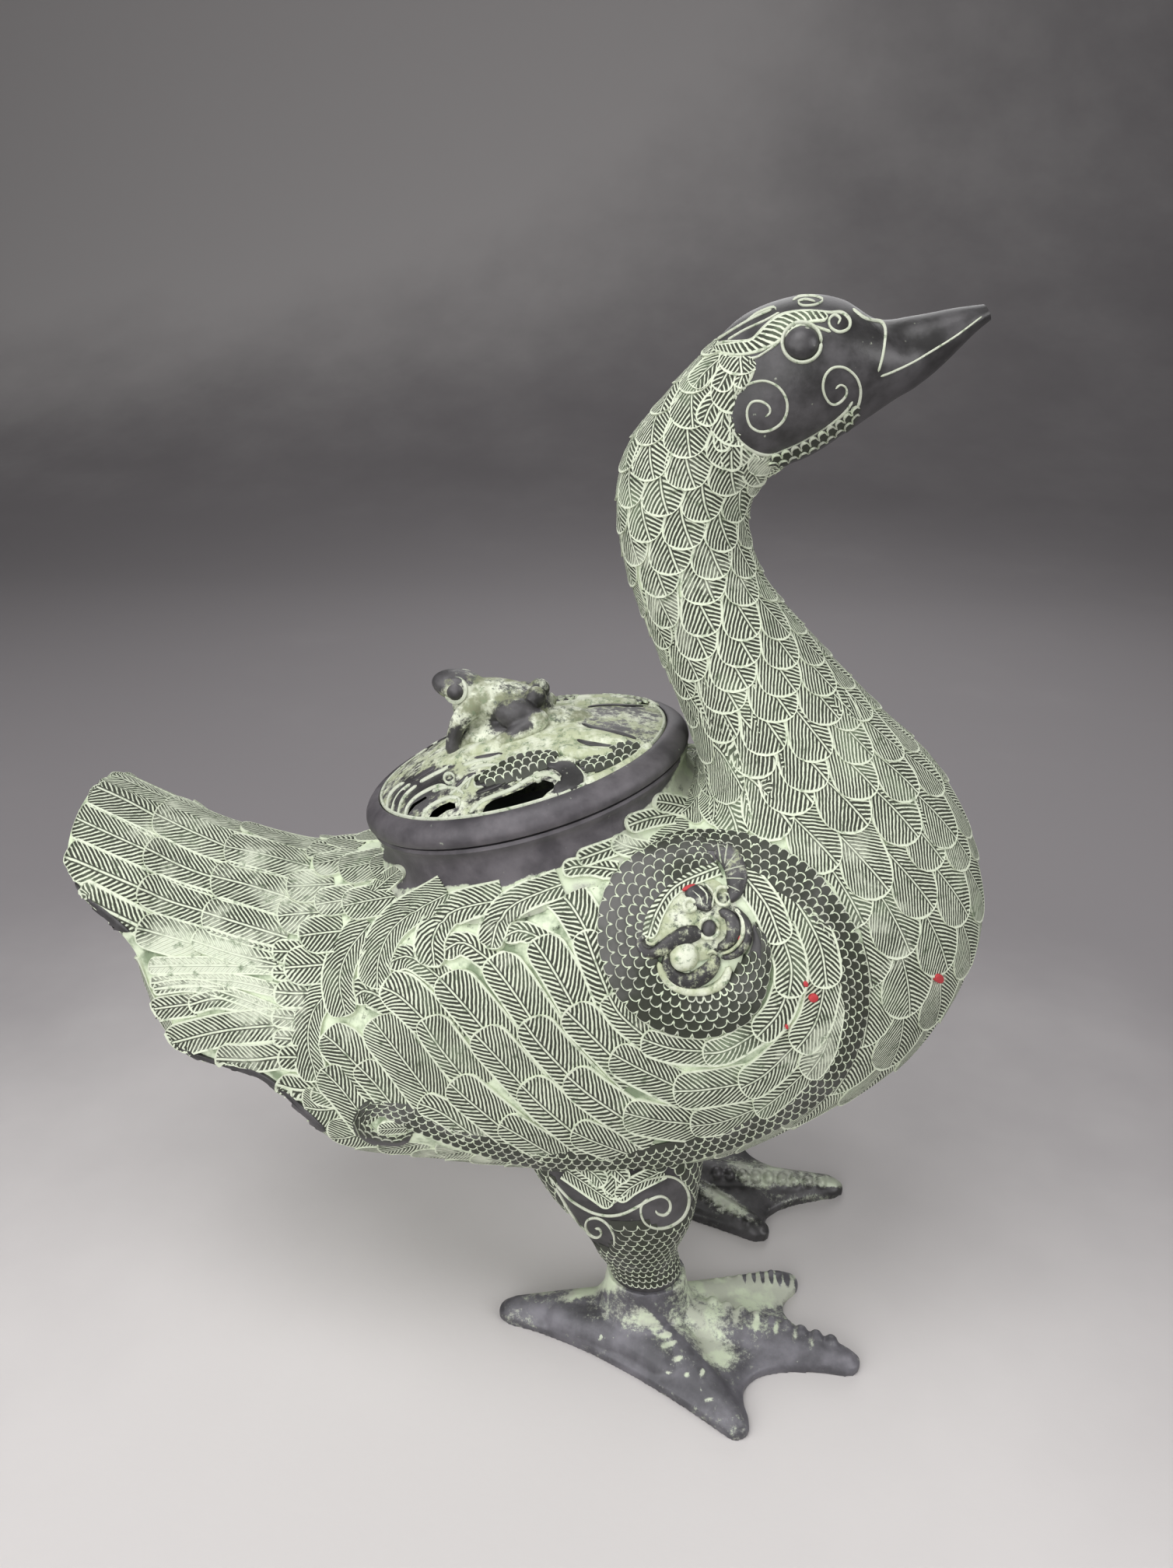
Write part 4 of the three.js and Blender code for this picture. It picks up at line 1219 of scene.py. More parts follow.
WING_SMALL = [
    ([(455, 1285), (475, 1274), (515, 1295)], (20, 20)),
    ([(500, 1240), (530, 1232), (578, 1265)], (16, 18)),
    ([(568, 1228), (598, 1214), (645, 1245)], (16, 17)),
    ([(648, 1208), (673, 1198), (716, 1216)], (14, 14)),
    ([(703, 1136), (735, 1165), (766, 1218)], (24, 30)),
]
WING_UPPER = [
    ([(494, 1268), (522, 1284), (582, 1347)], (22, 32)),
    ([(568, 1256), (598, 1290), (652, 1357)], (22, 35)),
    ([(630, 1232), (659, 1270), (706, 1342)], (21, 33)),
    ([(687, 1208), (715, 1250), (757, 1327)], (20, 32)),
    ([(752, 1196), (766, 1235), (792, 1302)], (22, 19)),
]
WING_MIDDLE = [
    ([(482, 1308), (515, 1352), (572, 1432)], (28, 31)),
    ([(545, 1308), (568, 1345), (612, 1403)], (16, 31)),
    ([(612, 1325), (640, 1356), (702, 1428)], (20, 32)),
    ([(674, 1310), (700, 1345), (762, 1413)], (19, 33)),
    ([(728, 1296), (760, 1328), (816, 1387)], (21, 31)),
]
WING_LOWER = [
    ([(418, 1372), (442, 1398), (475, 1445)], (22, 20)),
    ([(420, 1328), (440, 1345), (492, 1402)], (24, 30)),
    ([(463, 1366), (488, 1394), (522, 1442)], (16, 22)),
    ([(580, 1388), (613, 1419), (682, 1477)], (19, 29)),
    ([(671, 1390), (704, 1424), (772, 1482)], (20, 32)),
    ([(729, 1378), (766, 1410), (842, 1462)], (21, 28)),
]
WING_BORDER = [
    ([(540, 1414), (575, 1431), (640, 1482)], (14, 18)),
    ([(643, 1440), (675, 1459), (742, 1502)], (16, 21)),
    ([(735, 1449), (764, 1463), (835, 1492)], (17, 22)),
]
RING_INNER = [
    ([(1004, 1213), (986, 1165), (950, 1118)], (20, 20)),
    ([(1012, 1281), (1016, 1240), (1000, 1190)], (22, 22)),
    ([(971, 1331), (1000, 1300), (1015, 1262)], (20, 20)),
    ([(902, 1351), (935, 1347), (985, 1318)], (18, 18)),
    ([(824, 1332), (865, 1346), (916, 1351)], (20, 16)),
    ([(782, 1276), (800, 1305), (842, 1342)], (19, 15)),
]
RING_MIDDLE = [
    ([(1061, 1269), (1049, 1205), (1000, 1125)], (22, 22)),
    ([(1021, 1347), (1048, 1310), (1062, 1252)], (22, 23)),
    ([(950, 1396), (985, 1376), (1034, 1330)], (22, 22)),
    ([(864, 1399), (905, 1398), (966, 1390)], (24, 24)),
    ([(786, 1350), (822, 1371), (882, 1402)], (25, 22)),
]
RING_OUTER = [
    ([(1034, 1381), (1060, 1340), (1074, 1260)], (16, 21)),
    ([(970, 1427), (1002, 1404), (1046, 1366)], (15, 18)),
    ([(886, 1443), (930, 1438), (984, 1418)], (16, 20)),
    ([(801, 1426), (845, 1437), (900, 1444)], (24, 20)),
]

# Medallion: the middle line of its two scaled bands and the half-width there, in photo pixels
OUTER_BAND = [
    (838, 1092, 8), (880, 1082, 12), (940, 1085, 17), (985, 1106, 22), (1032, 1140, 24), (1066, 1182, 23),
    (1089, 1228, 20), (1098, 1278, 17), (1093, 1324, 15), (1074, 1370, 15), (1040, 1406, 14),
    (990, 1437, 14), (930, 1463, 14), (870, 1480, 13), (800, 1492, 13), (740, 1493, 13), (680, 1485, 12),
    (620, 1470, 12), (570, 1452, 13), (530, 1436, 14), (497, 1423, 11), (474, 1426, 11), (465, 1443, 11),
    (478, 1460, 10), (508, 1466, 8), (530, 1458, 6),
]
COIL = [
    (968, 1186, 3), (977, 1215, 12), (969, 1250, 21), (946, 1288, 28), (903, 1304, 29), (858, 1294, 31),
    (825, 1267, 33), (806, 1234, 32), (798, 1200, 30), (804, 1164, 31), (826, 1132, 31), (858, 1110, 26),
    (893, 1098, 20), (928, 1098, 14),
]
# The dragon's face inside the coil
FACE_DARK = [
    [(920, 1095, 10), (937, 1101, 14), (946, 1117, 14), (948, 1134, 13), (944, 1150, 9), (936, 1160, 4)],
    [(880, 1150, 6), (895, 1150, 12), (905, 1160, 13), (912, 1172, 8)],
    [(903, 1199, 8), (884, 1202, 12), (866, 1210, 11), (850, 1220, 9), (836, 1226, 7), (824, 1220, 6),
     (821, 1210, 5), (829, 1203, 4)],
    [(924, 1172, 5), (938, 1178, 8), (944, 1194, 10), (938, 1210, 8), (922, 1220, 5)],
    [(944, 1166, 3), (959, 1184, 5), (962, 1202, 6), (955, 1218, 6), (941, 1228, 5), (927, 1231, 3)],
    [(856, 1226, 3), (857, 1244, 8), (867, 1257, 10), (885, 1261, 10), (901, 1255, 11), (913, 1245, 10),
     (919, 1234, 7), (914, 1228, 4)],
]
FACE_PALE = [
    [(940, 1143, 3), (928, 1142, 3), (920, 1151, 3), (923, 1162, 3), (934, 1165, 3), (940, 1158, 2),
     (937, 1150, 2), (931, 1150, 2)],
    [(945, 1167, 3), (955, 1180, 4), (956, 1198, 4), (950, 1212, 3), (938, 1222, 3), (926, 1226, 2)],
    [(846, 1236, 4), (854, 1256, 6), (874, 1271, 6), (905, 1273, 6), (928, 1262, 7), (938, 1242, 5)],
    [(846, 1208, 2), (838, 1214, 3), (830, 1210, 2), (833, 1205, 2)],
    [(896, 1141, 2), (908, 1153, 2), (907, 1168, 2)],
    [(906, 1139, 2), (918, 1151, 2), (915, 1168, 2)],
    [(886, 1146, 2), (899, 1157, 2), (901, 1168, 2)],
    [(908, 1226, 2), (915, 1222, 3), (921, 1227, 2)],
]
FACE_DARKNESS, GROUND_DARKNESS = 0.62, 0.3
FACE_GROUND = ((890, 1180), (60, 56))
FACE_EYE, FACE_EYE_RADII = (911, 1194), (9, 11)
FACE_RINGS = [(FACE_EYE, 13, 3), ((886, 1165), 8, 3)]  # centre, radius, half-width
FACE_CHIN = ((879, 1230), (19, 19))
MANE, MANE_WIDTHS = [(833, 1207), (845, 1172), (870, 1140), (925, 1116)], (10, 20)
CURL_LEAF, CURL_WIDTHS = [(488, 1449), (503, 1448), (524, 1447)], (9, 9)
HORN_RIBS = [
    [(926, 1087, 1), (930, 1112, 1)], [(938, 1088, 1), (934, 1113, 1)], [(951, 1098, 1), (935, 1117, 1)],
    [(958, 1115, 1), (934, 1122, 1)], [(958, 1132, 1), (936, 1131, 1)], [(952, 1147, 1), (938, 1140, 1)],
]
RED_SPECKS = [
    ((885, 1143), (9, 3)), ((953, 1207), (4, 5)), ((958, 1254), (6, 3)), ((975, 1262), (5, 3)),
    ((1044, 1281), (6, 5)), ((1034, 1263), (3, 4)), ((1010, 1317), (2, 3)), ((1203, 1256), (5, 6)),
]


WING_PITCH, RING_PITCH, TAIL_PITCH, RUMP_PITCH = 1.45, 1.35, 1.55, 1.5  # of the barbs


def near_half(side):
    """The duck's surface on one side, held at the ridge of the back where a drawing crosses it."""
    sign = SIDES[side]

    def place(px, py):
        points, normals = DUCK_SIDES[side](px, py)
        points[..., 1] = np.maximum(points[..., 1] * sign, 0) * sign
        return off_mouth(points), normals

    return place


def tail(side):
    surface = near_half(side)
    for name, feathers, tip, pitch, tint in (
        ("tail_outer", TAIL_OUTER, 0.3, TAIL_PITCH, 1.0),
        ("tail_middle", TAIL_MIDDLE, 0.9, TAIL_PITCH, 1.0),
        ("tail_inner", TAIL_INNER, 0.9, TAIL_PITCH, 1.0),
        ("tail_lobe", TAIL_LOBE, 0.8, TAIL_PITCH, 0.9),
        ("rump", RUMP, 1.0, RUMP_PITCH, 0.5),
    ):
        patches = Patches()
        for points, widths in feathers:
            drawn_feather(patches, surface, points, widths, tip=tip, lift=(0.1, 1.3), dome=0.3, rim=0.35,
                          sink=1.2, fineness=BARB_PITCH / pitch, tint=tint)
        patches.build(f"{side}_{name}", FEATHER)
    # Dark ridges along the tail's lower edge: partly bare dark bronze, partly painted shade
    edges = Patches()
    for line in TAIL_DARK_SHADED_EDGES:
        ridge(edges, DUCK_SIDES[side], line, lift=1.1, dome=0.3, sink=1.5)
    edges.build(f"{side}_tail_edge_painted_shade", DARK)


def wing(side):
    layers = [
        ("collar_feathers", COLLAR_FEATHERS, (0.3, 0.9)),
        ("coverts", WING_COVERTS, (0.3, 1.2)),
        ("small_coverts", WING_SMALL, (0.2, 0.9)),
        ("upper_row", WING_UPPER, (0.2, 1.5)),
        ("middle_row", WING_MIDDLE, (0.2, 1.5)),
        ("lower_row", WING_LOWER, (0.2, 1.5)),
        ("border_row", WING_BORDER, (0.2, 1.4)),
        ("outer_ring", RING_OUTER, (0.2, 1.3)),
        ("middle_ring", RING_MIDDLE, (0.2, 1.3)),
        ("inner_ring", RING_INNER, (0.2, 1.3)),
    ]
    for name, feathers, lift in layers:
        patches = Patches()
        surface = (CLOAK_SIDES if name in ("collar_feathers", "coverts") else DUCK_SIDES)[side]
        fineness = BARB_PITCH / (RING_PITCH if "ring" in name else WING_PITCH)
        for points, widths in feathers:
            drawn_feather(patches, surface, points, widths, lift=lift, dome=0.4, tilt=0.25, sink=1.2,
                          fineness=fineness)
        patches.build(f"{side}_{name}", FEATHER)


SCALE_ROW = 0.92  # the pitch of a band's rows of scales, as a share of the pitch along them
SCALE_LENGTH = 1.25
SCALE_STEP = 0.6
SCALE_LEAST = 0.4  # rows closer than this share of the pitch are left out, except the last two


def band(patches, scales, surface, points, dome, scale_px, lift=0.3):
    """A domed ribbon along a drawn line, covered with rows of small scales that point to its left."""
    ribbon = Ribbon(points)

    def domed(along, across):
        x, y = ribbon.at(along, across)
        at, normals = surface(x, y)
        share = np.clip(np.abs(across) / np.maximum(ribbon.half(along), 1), 0, 1)
        return at + normals * (lift + dome * np.sqrt(1 - share**2))[..., None], normals

    ridge(patches, surface, points, lift, dome, sink=1.5, columns=9, spacing=7)
    count = max(2, round(ribbon.length / scale_px))
    width = ribbon.length / count / 2
    rows = max(1, round(ribbon.widths.max() * 2 / (scale_px * SCALE_ROW)))
    for j in range(rows):
        for k in range(count):
            start = (2 * k + 1 + j % 2) * width
            half = float(ribbon.half(start))
            depth = 2 * half / rows
            if depth < scale_px * SCALE_LEAST and j < rows - 2 or start > ribbon.length:
                continue

            def place(reach, beside, start=start, tip=depth * (j + 1) - half, depth=depth):
                return domed(start + beside, tip - reach * depth / scale_px)

            plume(scales, place, (width, width), scale_px * SCALE_LENGTH, scale_px * SCALE_STEP,
                  lift=(0.05, 0.5), dome=0.1, few=True)


def circle_line(centre, radius, half):
    angle = np.linspace(0, 2 * math.pi, 13)
    return [(centre[0] + radius * math.cos(a), centre[1] + radius * math.sin(a), half) for a in angle]


def medallion(side):
    surface = DUCK_SIDES[side]
    base, scales = Patches(), Patches()
    band(base, scales, surface, OUTER_BAND, 0.5, 13)
    band(base, scales, surface, COIL, 1.5, 15.5, lift=0.5)
    base.build(f"{side}_bands", EDGED, slot="dark_bronze")
    scales.build(f"{side}_band_scales", SCALE, slot="dark_bronze", wear=BAND_WEAR)
    face = Patches()
    button(face, surface, *FACE_GROUND, lift=0.2, dome=0.5, sink=1.0, tint=GROUND_DARKNESS)
    for line in FACE_DARK:
        ridge(face, surface, line, lift=1.0, dome=1.5, sink=1.5, columns=9, tint=FACE_DARKNESS)
    button(face, surface, FACE_EYE, FACE_EYE_RADII, turn=15, lift=1.2, dome=1.6, tint=1.0)
    for line in FACE_PALE:
        ridge(face, surface, line, lift=1.8, dome=0.7, sink=2.0, tint=0.0, thin=0.8)
    for centre, radius, half in FACE_RINGS:
        ridge(face, surface, circle_line(centre, radius, half), lift=1.0, dome=1.0, sink=1.2, tint=0.0)
    button(face, surface, *FACE_CHIN, lift=0.8, dome=2.6, tint=0.1)
    face.build(f"{side}_dragon", POWDER, slot="dark_bronze")
    ribs = Patches()
    for line in HORN_RIBS:
        ridge(ribs, surface, line, lift=2.2, dome=0.5, sink=1.5)
    ribs.build(f"{side}_horn_ribs", LINE)
    mane = Patches()
    drawn_feather(mane, surface, MANE, MANE_WIDTHS, lift=(0.6, 0.9), dome=0.5, sink=1.2)
    drawn_feather(mane, surface, CURL_LEAF, CURL_WIDTHS, lift=(0.4, 0.9), dome=0.8, sink=1.2, fineness=1.4)
    mane.build(f"{side}_dragon_mane", FEATHER)


def red_specks():
    """The few specks of red on the side that the photo shows."""
    specks = Patches()
    for centre, radii in RED_SPECKS:
        button(specks, DUCK_SIDES["right"], centre, radii, turn=-20, lift=1.6, dome=0.4, sink=2.0)
    f = Finish("red_paint", roughness=0.6)
    paint = f.done(f.mix(f.noise(400, 3), RED, DULL_RED), f.noise(600, 2), 0.1)
    specks.build("red_specks", paint)


for side in SIDES:
    tail(side)
    wing(side)
    medallion(side)
red_specks()


# The head, drawn on the photo: feathers behind the cheek, then lines with their half-widths

NAPE_FEATHERS = [
    ([(893, 500), (910, 478), (934, 455)], (12, 14)),
    ([(924, 504), (937, 480), (950, 456)], (14, 14)),
    ([(950, 500), (957, 480), (964, 458)], (12, 9)),
    ([(905, 548), (916, 522), (938, 500)], (15, 14)),
    ([(928, 580), (927, 552), (934, 512)], (13, 10)),
    ([(940, 604), (940, 580), (943, 550)], (14, 14)),
    ([(975, 622), (966, 602), (955, 575)], (15, 17)),
    ([(1002, 610), (988, 600), (970, 582)], (8, 12)),
]
CREST = [
    (914, 448, 2), (928, 449, 6), (948, 449, 9), (968, 446, 9), (984, 437, 12), (1000, 424, 14),
    (1018, 413, 11), (1040, 408, 8), (1064, 408, 6),
]
HEAD_LINES = [
    [(912, 447, 2), (930, 440, 2.5), (950, 439, 2.5), (967, 436, 2.5), (982, 421, 2.5), (998, 408, 2.5),
     (1015, 402, 2.5), (1040, 400, 2.5), (1066, 402, 2.5), (1082, 402, 3), (1092, 411, 3), (1091, 422, 3),
     (1079, 427, 3), (1068, 421, 2.5), (1066, 411, 2.5), (1073, 405, 2.5), (1080, 410, 2.5), (1077, 417, 2)],
    [(912, 448, 2), (930, 456, 2.5), (950, 460, 2.5), (970, 460, 2.5), (985, 452, 2), (1001, 440, 2.5),
     (1010, 425, 3), (1022, 418, 3), (1042, 419, 3), (1060, 424, 3), (1068, 427, 3)],
    [(948, 508, 2), (956, 498, 2.5), (968, 492, 2.6), (984, 490, 2.6), (1000, 497, 2.6), (1010, 511, 2.8),
     (1012, 527, 2.8), (1006, 542, 2.8), (993, 552, 2.6), (978, 555, 2.6), (966, 549, 2.6), (961, 538, 2.6),
     (961, 526, 2.6), (967, 517, 2.6), (978, 516, 2.6), (988, 522, 2.4), (990, 530, 2.2), (984, 536, 1.8)],
    [(1099, 531, 2.6), (1105, 515, 2.6), (1106, 499, 2.6), (1100, 484, 2.6), (1086, 473, 2.8),
     (1071, 473, 2.8), (1061, 483, 2.8), (1058, 498, 2.6), (1062, 512, 2.6), (1070, 520, 2.4),
     (1080, 517, 2.4), (1088, 507, 2.2), (1087, 498, 2.2), (1080, 495, 2), (1074, 500, 1.8)],
    [(965, 462, 2), (967, 478, 2.5), (955, 493, 3), (945, 508, 3), (938, 525, 3), (937, 541, 3),
     (944, 558, 3.5), (956, 572, 3.5), (972, 582, 3.5), (990, 585, 2.5), (1012, 580, 2.5), (1040, 566, 2.5),
     (1068, 546, 2.5), (1086, 530, 2.5), (1096, 516, 2)],
    [(1096, 397, 2), (1110, 408, 2.5), (1122, 412, 2.5), (1133, 414, 3), (1138, 424, 2.6), (1137, 442, 2.4),
     (1134, 460, 2.4), (1129, 478, 2)],
    [(1132, 484, 2), (1150, 477, 2.2), (1175, 465, 2), (1200, 450, 2), (1230, 431, 1.8), (1262, 407, 1.5)],
    [(1048, 388, 1), (1036, 385, 1.6), (1026, 388, 1.6), (1032, 393, 1.8), (1048, 392, 1.6), (1058, 386, 1.6),
     (1048, 381, 1.6), (1030, 381, 1.6), (1019, 386, 1.6)],
    [(922, 437, 1.6), (942, 424, 1.6), (966, 410, 1.6), (992, 398, 1.6)],
    [(936, 437, 1.6), (958, 424, 1.6), (984, 412, 1.6), (1002, 402, 1.4)],
    [(960, 413, 1.4), (975, 402, 1.8), (994, 395, 1.8), (998, 399, 1.4)],
]
HATCH_OFFSET = 6.0  # moves the shaft off the hatched crest, in millimetres
EYE_RING = ((1031, 441), 25, 3)
THROAT_BAND = [
    (985, 592, 5), (1006, 588, 9), (1032, 578, 10), (1058, 563, 10), (1082, 546, 9), (1100, 528, 6),
]
# The eyeball's place and the way it looks, on the left, and the radii and heights of its profile
EYE_AT, EYE_OUT = (63.5, 20.2, 353.3), (-0.09, 0.89, 0.44)
EYE_PROFILE = [(0.3, -3), (5.1, -3), (5.1, 0.6), (4.9, 1.6), (4.3, 2.6), (3.4, 3.4), (2.2, 4.0), (1.1, 4.3),
               (0.3, 4.35)]


def head_dressing(side):
    surface = DUCK_SIDES[side]
    nape = Patches()
    for points, widths in NAPE_FEATHERS:
        drawn_feather(nape, tucked(surface), points, widths, lift=(0.2, 0.9))
    ridge(nape, surface, CREST, lift=0.3, dome=0.5, columns=13, offset=HATCH_OFFSET, lean=0.4)
    nape.build(f"{side}_nape", FEATHER)
    lines = Patches()
    for line in HEAD_LINES:
        ridge(lines, surface, line, lift=0.15, dome=0.3, spacing=2.5, thin=0.62)
    ridge(lines, surface, circle_line(*EYE_RING), lift=0.3, dome=0.9, thin=0.8)
    lines.build(f"{side}_head_lines", LINE)
    base, scales = Patches(), Patches()
    band(base, scales, surface, THROAT_BAND, 0.4, 13)
    base.build(f"{side}_throat_band", EDGED, slot="dark_bronze")
    scales.build(f"{side}_throat_scales", SCALE, slot="dark_bronze")
    mirror = np.array([1, SIDES[side], 1])
    ball = circles(EYE_PROFILE, np.array(EYE_AT) * mirror, np.array(EYE_OUT) * mirror, 48)
    eye = make_object(f"{side}_eyeball", *closed_rings(ball), DARK)
    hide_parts(f"{side}_eye")


for side in SIDES:
    head_dressing(side)


# Collar and lid

# The dark part of the collar, in photo pixels: the feathers and their powder cover the rest
COLLAR_SHOWN = [
    (430, 980), (470, 1075), (482, 1090), (497, 1106), (516, 1112), (512, 1140), (560, 1137), (600, 1135),
    (640, 1139), (662, 1132), (682, 1122), (712, 1116), (736, 1102), (752, 1097), (772, 1086), (790, 1074),
    (806, 1062), (822, 1042), (842, 1024), (858, 1004), (872, 980), (880, 900), (430, 900),
]
LID_RING = [
    (47.1, -4.5), (49, -4.5), (49, 0.3), (56.2, 0.3), (57.5, 0.7), (58.1, 1.8), (58.1, 3.2), (57.6, 4.7),
    (56.7, 6.0), (55.4, 7.2), (54.0, 8.0), (52.9, 8.4), (52.2, 8.3), (51.8, 7.7), (51.8, 4.5), (47.1, 4.5),
]


def collar_and_ring():
    """The mouth's collar, powdered where feathers climb it, and the ring of the lid above it."""
    bare = smooth(inside(to_photo(near_side(COLLAR[0])), COLLAR_SHOWN), -4, 2)
    collar = make_object("collar", *COLLAR, COLLAR_FINISH, marks={"pale": 0.6 - bare})
    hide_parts("mouth_collar")
    ring = make_object("lid_rim", *looped_rings(around_lid(lambda _: LID_RING)), LID_BRONZE, "lid")
    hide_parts("lid_ring")


PLATE_RADIUS = 51.5
PLATE_BOTTOM = 4.8
PLATE_THICKNESS = 3.2
PLATE_RISE = 12
PLATE_SPHERE = (PLATE_RADIUS**2 + PLATE_RISE**2) / (2 * PLATE_RISE)


def plate_height(radius):
    return np.sqrt(PLATE_SPHERE**2 - radius**2) - (PLATE_SPHERE - PLATE_RISE)


PLATE_HUB = 0.4  # radius of the small flat ends at the axis
PLATE_BORDER = [(50.4, 8.0), (50.6, 8.7), (51.0, 8.9), (51.4, 8.7), (51.6, 8.0), (51.0, 7.6)]
CUT_BEFORE, CUT_BEHIND = 6, 26  # how far the openings' cutters reach along the line of sight
PLATE_DARKNESS = 0.34
# Where the plate's powder gives way to dark bronze, or lies thicker, in photo pixels
PLATE_TONES = [
    ((530, 1025), (40, 26), -30, 0.3), ((560, 1000), (40, 14), -30, 0.2), ((700, 1000), (60, 20), -20, 0.1),
    ((790, 935), (60, 10), 12, 0.25), ((640, 962), (60, 16), -8, -0.35), ((800, 998), (48, 16), -25, -0.7),
    ((764, 948), (45, 10), 12, -0.4), ((755, 967), (40, 9), 5, -0.4), ((545, 1015), (50, 30), -30, 0.15),
    ((640, 1020), (40, 12), -20, 0.25), ((690, 940), (40, 14), 0, -0.4),
]

# The plate's openings, its lines and its dragon, drawn on the photo
OPENINGS = [
    [(619, 1047), (624, 1036), (633, 1029), (650, 1023), (670, 1015), (690, 1004), (700, 1003), (711, 1006),
     (714, 1012), (704, 1019), (697, 1026), (688, 1032), (670, 1037), (650, 1043), (635, 1047)],
    [(549, 1055), (556, 1043), (566, 1036), (578, 1031), (585, 1033), (586, 1039), (575, 1042), (563, 1050),
     (554, 1055)],
    [(520, 1050), (523, 1042), (530, 1034), (547, 1024), (549, 1026), (534, 1036), (527, 1044), (524, 1049)],
    [(722, 968), (735, 969), (752, 973), (766, 975), (771, 978), (755, 979), (738, 975), (726, 971)],
]
PLATE_LINES = [
    [(604, 1045, 2), (612, 1037, 2.2), (622, 1029, 2.4), (640, 1022, 2.4), (660, 1014, 2.4), (678, 1003, 2.6),
     (692, 997, 3), (706, 995, 3.4), (717, 1001, 3), (722, 1008, 2)],
    [(543, 1052, 1.8), (548, 1042, 2), (560, 1033, 2.2), (576, 1026, 2.4), (589, 1027, 2.2),
     (591, 1036, 1.6)],
    [(716, 1023, 1.6), (734, 1017, 1.6), (747, 1013, 1.6), (753, 1004, 1.6), (749, 994, 1.6),
     (741, 985, 1.4), (738, 975, 1.2)],
    [(498, 1040, 1.3), (500, 1026, 1.4), (508, 1014, 1.4), (520, 1006, 1.2)],
    [(504, 1044, 1.2), (508, 1030, 1.4), (516, 1018, 1.3), (528, 1008, 1.2)],
    [(512, 1048, 1.2), (516, 1032, 1.4), (524, 1020, 1.3), (536, 1010, 1.2)],
    [(521, 1050, 1.2), (524, 1038, 1.4), (534, 1026, 1.4), (550, 1016, 1.8), (566, 1010, 1.8),
     (576, 1012, 1.4)],
    [(540, 1006, 1.4), (556, 997, 1.8), (570, 990, 1.6), (583, 982, 1.3)],
    [(556, 1018, 1.6), (572, 1013, 1.8), (586, 1014, 1.8), (597, 1021, 1.6)],
    [(622, 1012, 1.2), (612, 1012, 1.5), (611, 1005, 1.5), (619, 1000, 1.5), (629, 1003, 1.5),
     (629, 1011, 1.2)],
    [(632, 1010, 1.2), (634, 1002, 1.4), (642, 999, 1.4), (645, 1005, 1.2)],
    [(578, 1022, 1.2), (592, 1012, 1.3), (604, 1002, 1.3), (622, 994, 1.2)],
    [(588, 1020, 1), (597, 1006, 1.2), (603, 998, 1)], [(600, 1014, 1), (606, 1002, 1.2), (612, 996, 1)],
    [(596, 985, 1.3), (612, 979, 1.8), (630, 976, 1.8), (645, 971, 1.2)],
    [(604, 990, 1.2), (622, 985, 1.6), (640, 984, 1.2)],
]
PLATE_RINGS = [((578, 1001), 6.5, 1.6), ((691, 999), 5, 1.5), ((712, 977), 6, 1.8), ((668, 1001), 3.5, 1.3)]
PLATE_DRAGON = [
    [(612, 1008, 6), (634, 1000, 10), (655, 991, 13), (675, 984, 14), (695, 978, 11), (712, 973, 6)],
    [(740, 986, 4), (758, 984, 8), (778, 979, 11), (796, 972, 14), (809, 967, 14), (816, 963, 9)],
]
PLATE_HOOK = [(702, 985, 3), (714, 985, 5), (729, 990, 11), (736, 1001, 15), (728, 1011, 12), (712, 1020, 7)]
PLATE_LEAVES = [
    [(716, 964, 6), (742, 967, 7), (768, 970, 7), (790, 970, 5)],
    [(722, 944, 6), (750, 945, 8), (782, 951, 8), (808, 956, 4)],
    [(602, 968, 4), (620, 962, 6), (645, 957, 5)],
    [(560, 985, 3), (580, 979, 5), (602, 974, 3)],
    [(752, 1008, 5), (775, 1001, 8), (800, 990, 9), (820, 976, 9), (831, 965, 8), (836, 958, 4)],
]
# Dark strokes between the leaves
PLATE_STROKES = [
    [(741, 951, 1.5), (756, 956, 2.6), (772, 957, 2.6), (788, 959, 1.4)],
    [(748, 931, 1.2), (764, 936, 2), (782, 940, 2), (798, 943, 2), (818, 950, 1.2)],
    [(610, 975, 1), (628, 972, 1.8), (646, 969, 1.2)], [(618, 992, 1.2), (634, 992, 2.2), (646, 988, 1.2)],
    [(566, 983, 1), (574, 986, 2), (584, 986, 1)],
    [(504, 1038, 1.5), (511, 1024, 3), (521, 1010, 2.4)],
    [(508, 1042, 1.5), (517, 1026, 2.6), (530, 1012, 2)],
    [(530, 1004, 1.4), (546, 994, 2.6), (560, 986, 1.6)],
    [(586, 1012, 1.2), (598, 1001, 2), (612, 994, 1.4)],
    [(612, 1020, 2), (628, 1014, 3), (646, 1008, 2)],
]


def plate():
    """The domed plate with its openings, cut along the photo's line of sight. Returns its surface by side."""
    steps = np.linspace(0, 1, 22)[1:] * PLATE_RADIUS
    top = PLATE_BOTTOM + PLATE_THICKNESS
    loop = [(PLATE_HUB, PLATE_BOTTOM + PLATE_RISE)]
    loop += [(r, PLATE_BOTTOM + plate_height(r)) for r in steps]
    loop += [(r, top + plate_height(r)) for r in steps[::-1]]
    loop += [(PLATE_HUB, top + PLATE_RISE)]
    points, faces = closed_rings(circles(loop, MOUTH, MOUTH_AXIS, 144))
    surfaces = both_sides(BVHTree.FromPolygons(points.tolist(), faces))
    piece = make_object("lid_plate", points, faces, PLATE_POWDER, "lid")
    tools = []
    for side, surface in surfaces.items():
        mirror = np.array([1, -SIDES[side], 1])
        for k, outline in enumerate(OPENINGS):
            at, _ = surface(*np.array(outline, float).T)
            sight = unit(at * mirror - CAMERA_EYE) * mirror
            rings = [at - sight * CUT_BEFORE, at + sight * CUT_BEHIND]
            tools.append(plain_object(f"opening_{side}_{k}", *closed_rings(rings)))
    cut(piece, tools)
    set_mark(piece, "dark", PLATE_DARKNESS + blots(mesh_points(piece), PLATE_TONES))
    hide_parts("lid_dome")
    return surfaces


